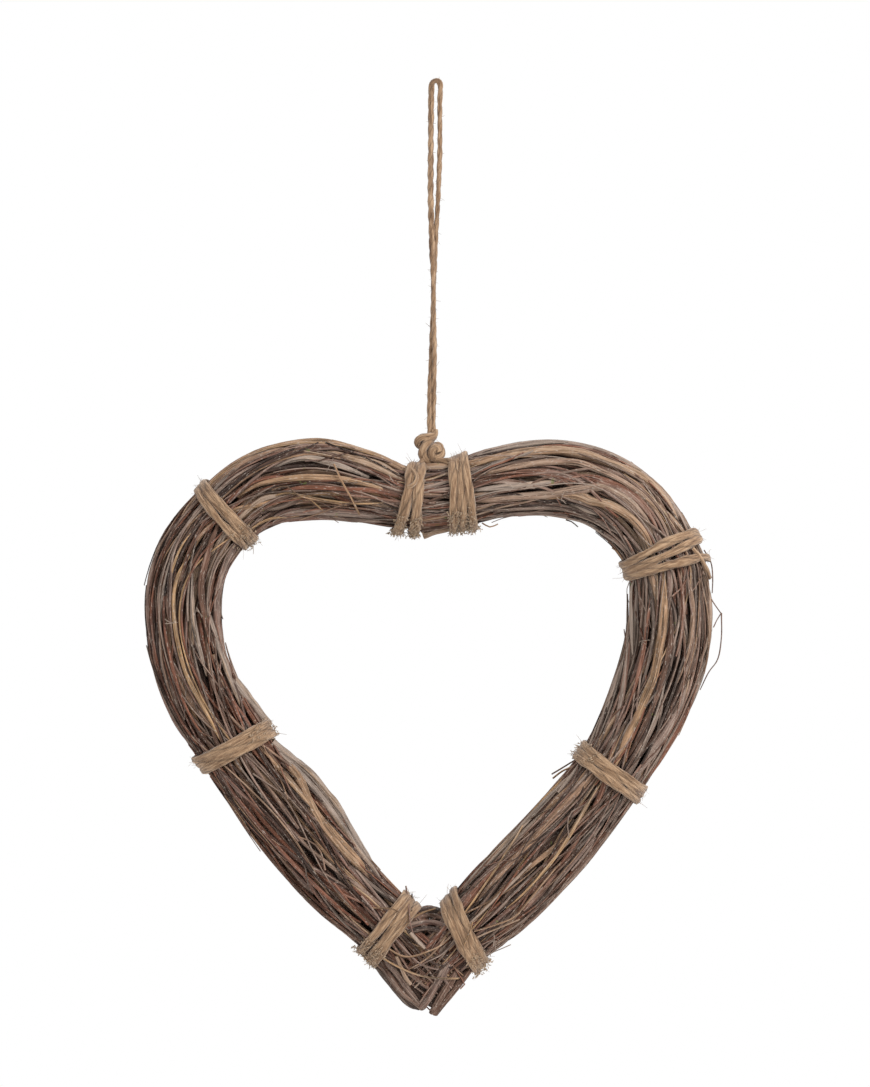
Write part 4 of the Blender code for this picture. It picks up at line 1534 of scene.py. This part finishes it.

# %% [markdown]
# ## Stems on top
#
# A few stems lie on top of all others: they cross them, stick out of them or end in a cut. Those that
# can be told apart in the photograph are listed one by one. A row gives the width in pixels, the tint,
# the limewash, and the places that the stem passes: across and down in pixels, then how far its middle
# stands in front of the bundle, in millimetres. At the point they are what rounds the tip and fills the
# crook. Two short rows do the same for the twine's tails.

# %% Stems and tails that lie on top
ON_TOP = (
    # the left and the right rim of the point, and the stems between them
    (5.5, DARK, 0.3, ((362, 953, -3), (375, 966, -4), (386, 976, -5), (397, 989, -6),
                       (409, 1002, -8), (419, 1007, -10))),
    (9.0, BROWN, 0.3, ((366, 950, -4), (383, 966, -5), (393, 977, -5), (404, 990, -6),
                       (423, 1006, -9))),
    (8.0, BROWN, 0.2, ((474, 962, -5), (460, 979, -4), (449, 992, -5), (441, 1003, -7),
                       (435, 1012, -8))),
    (11.0, MAUVE, 0.3, ((457, 938, -14), (443, 967, -2), (431, 989, -3), (422, 1004, -7))),
    (8.0, BROWN, 0.3, ((462, 958, -9), (450, 978, -3), (441, 993, -4), (432, 1012, -8))),
    (7.0, MAUVE, 0.3, ((378, 950, -9), (396, 969, -3), (409, 987, -5), (420, 1002, -8))),
    # thick ones deep in the point, which close it
    (13.0, DARK, 0.1, ((392, 946, -14), (404, 970, -12), (415, 988, -11), (424, 1001, -10))),
    (13.0, DARK, 0.1, ((466, 946, -14), (452, 970, -12), (440, 988, -11), (430, 1003, -10))),
    (13.0, BROWN, 0.1, ((429, 946, -16), (428, 975, -13), (427, 1000, -10))),
    # twigs that cross on top of the point
    (4.5, TAN, 0.6, ((397, 952, 1), (401, 962, 1), (406, 973, 1), (411, 980, 0))),
    (2.0, TAN, 0.3, ((390, 945, 1), (401, 951, 2), (411, 952, 2), (425, 948, 2), (441, 941, 1),
                     (452, 931, 0))),
    (2.0, STRAW, 0.0, ((384, 955, 1), (399, 963, 2), (418, 970, 2), (435, 973, 2), (458, 974, 1))),
    (2.2, MAUVE, 0.4, ((395, 934, 0), (406, 946, 1), (420, 959, 1), (440, 966, 0))),
    (2.0, DARK, 0.0, ((398, 928, 1), (412, 940, 1), (430, 957, 1), (452, 964, 0))),
    (2.4, BROWN, 0.2, ((392, 938, 1), (404, 957, 1), (413, 970, 0), (428, 978, 0))),
    (1.8, TANNED, 0.2, ((446, 933, 1), (436, 946, 1), (421, 958, 1), (404, 968, 0))),
    (2.6, MAUVE, 0.5, ((455, 938, 0), (441, 950, 1), (428, 956, 1), (414, 964, 0))),
    (1.8, DARK, 0.0, ((458, 948, 1), (444, 962, 1), (430, 971, 0))),
    (4.0, TAN, 1.0, ((411, 929, 1), (417, 936, 2), (421, 940, 2), (425, 944, 2))),
    # two that stand up at the left binding of the point
    (1.6, MAUVE, 0.2, ((406, 885, 5), (407, 893, 5), (409, 906, 5), (411, 921, 4), (414, 932, 1))),
    (1.5, DARK, 0.1, ((412, 893, 3), (412, 900, 4), (412, 909, 4))),
    # the arched stems in the crook
    (7.0, DARK, 0.2, ((398, 915, -9), (413, 912, -6), (429, 911, -5), (444, 912, -6), (460, 916, -9))),
    (7.0, BROWN, 0.3, ((399, 921, -6), (414, 917, -3), (429, 916, -2), (444, 917, -3), (459, 922, -6))),
    (6.0, MAUVE, 0.3, ((400, 926, -4), (414, 922, -1), (429, 921, 0), (444, 922, -1), (457, 927, -4))),
    (6.0, DARK, 0.2, ((402, 931, -3), (416, 927, 0), (430, 926, 1), (446, 930, -2))),
    (9.0, BROWN, 0.2, ((400, 920, -24), (414, 916, -22), (429, 914, -21), (444, 916, -22),
                       (458, 921, -24))),
    # loose ends beside the two bindings of the point
    (1.8, STRAW, 0.0, ((413, 915, 1), (425, 911, 3), (436, 908, 2))),
    (1.6, STRAW, 0.1, ((472, 917, 4), (469, 927, 5), (464, 940, 4))),
    (1.8, TAN, 0.3, ((474, 927, 1), (492, 921, 2), (510, 915, 1), (519, 909, 0))),
    (1.8, TAN, 0.5, ((477, 933, 1), (494, 925, 2), (519, 916, 0))),
    (1.6, TAN, 0.1, ((372, 904, 1), (392, 905, 3), (399, 908, 4))),
    (2.2, MAUVE, 0.4, ((362, 892, 1), (374, 906, 2), (384, 921, 2))),
    (2.6, RUSSET, 0.0, ((335, 879, 0), (350, 898, 1), (369, 921, 0))),
    # pale bent vines on the inner edge of the left side
    (11.0, CHALK, 0.6, ((272, 742, -4), (290, 757, -3), (308, 773, -4), (324, 792, -6),
                        (340, 814, -6), (353, 836, -6), (362, 851, -9), (370, 866, -14))),
    (9.0, TAN, 0.3, ((290, 766, -5), (301, 779, -2), (311, 801, -2), (328, 829, -2),
                     (348, 852, -3), (372, 876, -5))),
    (12.0, CHALK, 0.8, ((227, 670, -13), (235, 682, -8), (245, 695, -5), (256, 710, -4),
                        (268, 726, -5))),
    # twigs that lie across the left lobe
    (2.2, TAN, 0.1, ((335, 465, 2), (344, 484, 2), (353, 500, 2), (360, 515, 1))),
    (1.5, DARK, 0.0, ((257, 470, 0), (281, 460, 1), (305, 450, 1), (319, 443, 0))),
    (1.6, DARK, 0.0, ((326, 443, 0), (345, 450, 1), (374, 462, 1), (403, 477, 0))),
    (1.6, BROWN, 0.1, ((319, 462, 0), (339, 456, 1), (365, 450, 0))),
    (1.5, TAN, 0.1, ((274, 491, 0), (288, 487, 2), (300, 496, 2), (322, 501, 1), (348, 506, 0))),
    (1.6, TANNED, 0.2, ((300, 520, 0), (322, 513, 1), (348, 504, 1), (371, 500, 0))),
    # the thin shoots that have sprung out at the right
    (1.4, BROWN, 0.2, ((704, 550, 0), (711, 562, -1), (713, 577, -2), (712, 593, -2))),
    (1.4, BROWN, 0.2, ((710, 599, 0), (716, 606, -2), (722, 614, -4))),
    (1.4, MAUVE, 0.2, ((722, 613, -4), (718, 619, -3), (713, 627, 0))),
    (1.4, MAUVE, 0.2, ((722, 613, -4), (722, 638, -4), (718, 660, -3), (709, 672, -1), (700, 690, 0))),
    # short ends that hang from the lobes and from the lower right binding
    (1.5, TAN, 0.0, ((482, 523, 0), (490, 527, 0), (498, 524, 0))),
    (1.5, BROWN, 0.0, ((566, 520, 0), (572, 522, 0), (578, 527, 0))),
    (1.6, TAN, 0.0, ((612, 548, 0), (617, 552, 0), (622, 559, 0))),
    (2.2, TAN, 0.2, ((584, 758, -6), (576, 764, -5), (569, 768, -4), (562, 772, -4), (553, 779, -4))),
    (1.8, BROWN, 0.3, ((580, 757, -8), (572, 763, -7), (562, 769, -6), (552, 775, -6))),
    # the stem that the knot sits on, and two below the top bindings
    (14.0, TAN, 0.4, ((404, 475, -7), (420, 471, -5), (436, 469, -4), (449, 469, -5), (468, 469, -8))),
    (9.0, TAN, 0.5, ((423, 535, -5), (436, 531, -4), (456, 526, -6))),
    (7.0, BROWN, 0.3, ((421, 529, -3), (440, 526, -3), (460, 522, -5))),
)
TAILS = (
    (5.0, ((690, 548, 3), (697, 556, 4), (703, 566, 4), (709, 578, 2))),
    (5.0, ((407, 468, 3), (413, 471, 5), (417, 478, 5), (414, 485, 5), (408, 488, 3))),
)
print("stems on top:", len(ON_TOP), "tails:", len(TAILS))

# %% [markdown]
# A row only knows the picture's plane. How deep a stem lies there follows from the bundle: its
# front is an ellipse across its width, and the row's last number lifts the stem from that.

# %% Lay them on the bundle's front
def front_at(place):
    """How deep the bundle's front lies at a place (x, z), on the side that comes nearer."""
    nearest = 0.0
    for stretch in SIDE_STRETCHES:
        s, aside = BUNDLE.locate(place, *stretch)
        half_width = float(BUNDLE.half_width(s))
        share = min(abs(aside) / half_width, 1.0)
        nearest = max(nearest, half_width * FRONT_TO_WIDTH * math.sqrt(1.0 - share**2))
    return -nearest


def lay_on_top(width, places, number, generator, **looks):
    line = []
    for across, down, lift in places:
        place = on_photo(across, down)
        line.append((place[0], front_at(place) - lift / 1000.0, place[1]))
    points = evenly(smooth_curve(line, 6), 0.0025)
    radius = width * PIXEL / 2 * uneven(len(points), 0.07, generator, 4)
    radius = radius * np.linspace(1.0, 0.8, len(points))
    return Strand(points, radius, phase=1500 + number, **looks)


def lay_all_on_top():
    generator = np.random.default_rng(52)
    stems = [
        lay_on_top(width, places, number, generator, tint=tint, wash=wash)
        for number, (width, tint, wash, places) in enumerate(ON_TOP)
    ]
    tails = [
        lay_on_top(width, places, number, generator) for number, (width, places) in enumerate(TAILS)
    ]
    return stems, tails


stems_on_top, tail_strands = lay_all_on_top()
twine_tails = make_strands(
    "twine_tails", tail_strands, Sides=16, Steps=1, Plies=2, Ply_depth=0.2, Lay_length=0.02,
    Ridge_depth=0.9, Ridge_width=0.0010, Lump_depth=0.3, Lump_length=0.01, Material=JUTE,
)

# %% [markdown]
# ## Stray shoots and tufts
#
# Other thin shoots are strewn at random, all round the bundle. Each follows the bundle's side for
# a few centimetres and turns a little round it, and its end stands off. Where bark has torn there
# are tufts of pale bast, a few short fibres in one spot, each at a pixel of the photograph.

# %% Strew the stray shoots
STRAYS = 210
STRAY_LENGTHS = (0.015, 0.075)
TUFTS = (
    (333, 463), (357, 471), (393, 481), (202, 612), (176, 622), (493, 937), (640, 640), (560, 500),
)
TUFT_FIBRES = 6


def stray_shoot(number, generator):
    length = generator.uniform(*STRAY_LENGTHS)
    t = np.linspace(0.0, 1.0, max(6, int(length / 0.004)))
    s = generator.uniform(0.0, BUNDLE.length) + generator.choice((-1.0, 1.0)) * length * t
    s = np.clip(s, 0.002, BUNDLE.length - 0.002)
    angle = generator.uniform(0.0, 2 * math.pi) + generator.normal(0.0, 0.45) * t
    angle = angle + generator.normal(0.0, 0.12) * np.sin(math.pi * t)
    out = BUNDLE.half_width(s) - 0.0011 + generator.uniform(0.0, 0.0026) * t**3
    points = BUNDLE.point(s, out * np.cos(angle), out * FRONT_TO_WIDTH * np.sin(angle))
    radius = generator.uniform(0.00028, 0.00062) * (1.0 - 0.35 * t)
    tint = pick_tint(generator, "shoot")
    return Strand(points, radius, tint=tint, wash=generator.uniform(0.0, 0.6), phase=2000 + number)


def tuft(pixel, generator):
    x, z = on_photo(*pixel)
    start = np.array([x, front_at((x, z)), z])
    t = np.linspace(0.0, 1.0, 5)[:, None]
    fibres = []
    for _ in range(TUFT_FIBRES):
        way = generator.normal(0.0, 1.0, 3) + np.array([0.0, -0.8, 0.0])
        points = start + generator.uniform(0.002, 0.006) * (t * way / np.linalg.norm(way))
        points = points + t**2 * generator.normal(0.0, 0.0012, 3)
        fibres.append(Strand(points, 0.0002, tint=CHALK, wash=2.0, phase=generator.uniform(0, 900)))
    return fibres


def strew():
    generator = np.random.default_rng(63)
    found = [stray_shoot(number, generator) for number in range(STRAYS)]
    for pixel in TUFTS:
        found.extend(tuft(pixel, generator))
    return found


stray_shoots = make_strands(
    "stray_shoots", strew(), Sides=5, Steps=1, Material=BARK,
    Ridge_depth=0.3, Ridge_width=0.0008, Lump_depth=0.5, Lump_length=0.008,
)
top_stems = make_strands(
    "top_stems", stems_on_top, Sides=12, Steps=1, Material=BARK,
    Ridge_depth=0.45, Ridge_width=0.0013, Lump_depth=0.3, Lump_length=0.012,
)

# %% [markdown]
# ## Fibres on the twine
#
# Jute is hairy. Fibres leave the twine at random places, lean along it and curl. On one edge of
# most bindings the twine has come undone into wool, and there they are many and short. A row says
# how many of them and on which edge of the bundle, 1 for the outer and -1 for the inner one.

# %% The fibres
WOOL = {
    "top_left": (520, -1), "top_right": (480, -1), "upper_left": (110, -1),
    "bottom_left": (260, 1), "bottom_right": (220, 1), "lower_right": (70, -1),
    "lower_left": (90, -1),
}
WOOL_STEP = 0.0006  # metres that a curl goes on before it turns
BINDING_FIBRES = 110
BINDING_REACH = (0.0022, 0.0040)
LOOP_FIBRES = 260
LOOP_REACH = (0.0013, 0.0025)


def wool_at(places, points, outward, generator):
    """Short curls of undone twine, which cover it and the gaps beside it."""
    curls = []
    for at in places:
        beside = np.cross(outward[at], points[at + 1] - points[at - 1])
        beside = beside / np.linalg.norm(beside)
        way = outward[at] + generator.normal(0.0, 0.5, 3)
        start = points[at] + way * TWINE_DIAMETER * 0.4 + beside * generator.uniform(-0.003, 0.003)
        steps = generator.normal(0.0, 1.0, (7, 3)) + 0.2 * way
        steps = steps / np.linalg.norm(steps, axis=1)[:, None]
        line = start + np.cumsum(steps, axis=0) * WOOL_STEP
        radius = generator.uniform(0.00018, 0.00026)
        wash = generator.uniform(0.4, 1.2)
        curls.append(Strand(line, radius, wash=wash, phase=generator.uniform(0, 900)))
    return curls


def fibres_at(places, points, outward, reach, generator):
    """Single fibres that stand off from the twine's middle by about this reach."""
    t = np.linspace(0.0, 1.0, 5)[:, None]
    fibres = []
    for at in places:
        along = points[at + 1] - points[at - 1]
        along = along / np.linalg.norm(along)
        way = outward[at] + generator.normal(0.0, 0.7, 3)
        way = way - along * (way @ along)
        way = way / np.linalg.norm(way) + along * generator.uniform(-1.5, 1.5)
        curl = generator.normal(0.0, 0.6, 3)
        line = points[at] + generator.uniform(*reach) * (t * way + t**2 * curl)
        radius = generator.uniform(0.00010, 0.00018) * (1.0 - 0.5 * t[:, 0])
        fibres.append(Strand(line, radius, phase=generator.uniform(0, 900)))
    return fibres


def on_edge(name, points, edge):
    """The numbers of a binding's points that lie on this edge of the bundle."""
    aside = points @ BUNDLE.direction(BUNDLE.bindings[name], 1.0, 0.0) * edge
    limit = aside.mean() + 0.45 * (aside.max() - aside.mean())
    return np.flatnonzero(aside[1:-1] > limit) + 1


def all_fibres():
    generator = np.random.default_rng(77)
    found = []
    for name, strand in BINDING_STRANDS.items():
        points = strand.points
        outward = strand.fields["outward"]
        places = generator.integers(1, len(points) - 1, BINDING_FIBRES)
        found.extend(fibres_at(places, points, outward, BINDING_REACH, generator))
        if name in WOOL:
            count, edge = WOOL[name]
            places = generator.choice(on_edge(name, points, edge), count)
            found.extend(wool_at(places, points, outward, generator))
    no_side = np.zeros_like(loop_path)
    places = generator.integers(1, len(loop_path) - 1, LOOP_FIBRES)
    found.extend(fibres_at(places, loop_path, no_side, LOOP_REACH, generator))
    return found


twine_fibres = make_strands("twine_fibres", all_fibres(), Sides=3, Steps=1, Material=JUTE)

# %% [markdown]
# ## What moves with what
#
# The ornament has no joints, so every piece rides on its one body. Each piece stands for the solids
# whose place it takes.

# %% Ride and replace
STEM_NODES = [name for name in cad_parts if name.startswith("stem_")]


def dress(piece, slot, *nodes):
    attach(piece, "root")
    if nodes:
        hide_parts(*nodes)


dress(broad_vines, "bark", *STEM_NODES)
for piece in (core_stems, twigs_left, twigs_right, shoots, top_stems, stray_shoots):
    dress(piece, "bark")
for node, piece in bindings.items():
    dress(piece, "jute", node)
for piece in (twine_tails, twine_fibres):
    dress(piece, "jute")
dress(hanging_knot, "jute", "hanging_knot")
dress(hanging_loop, "jute", "hanging_loop")
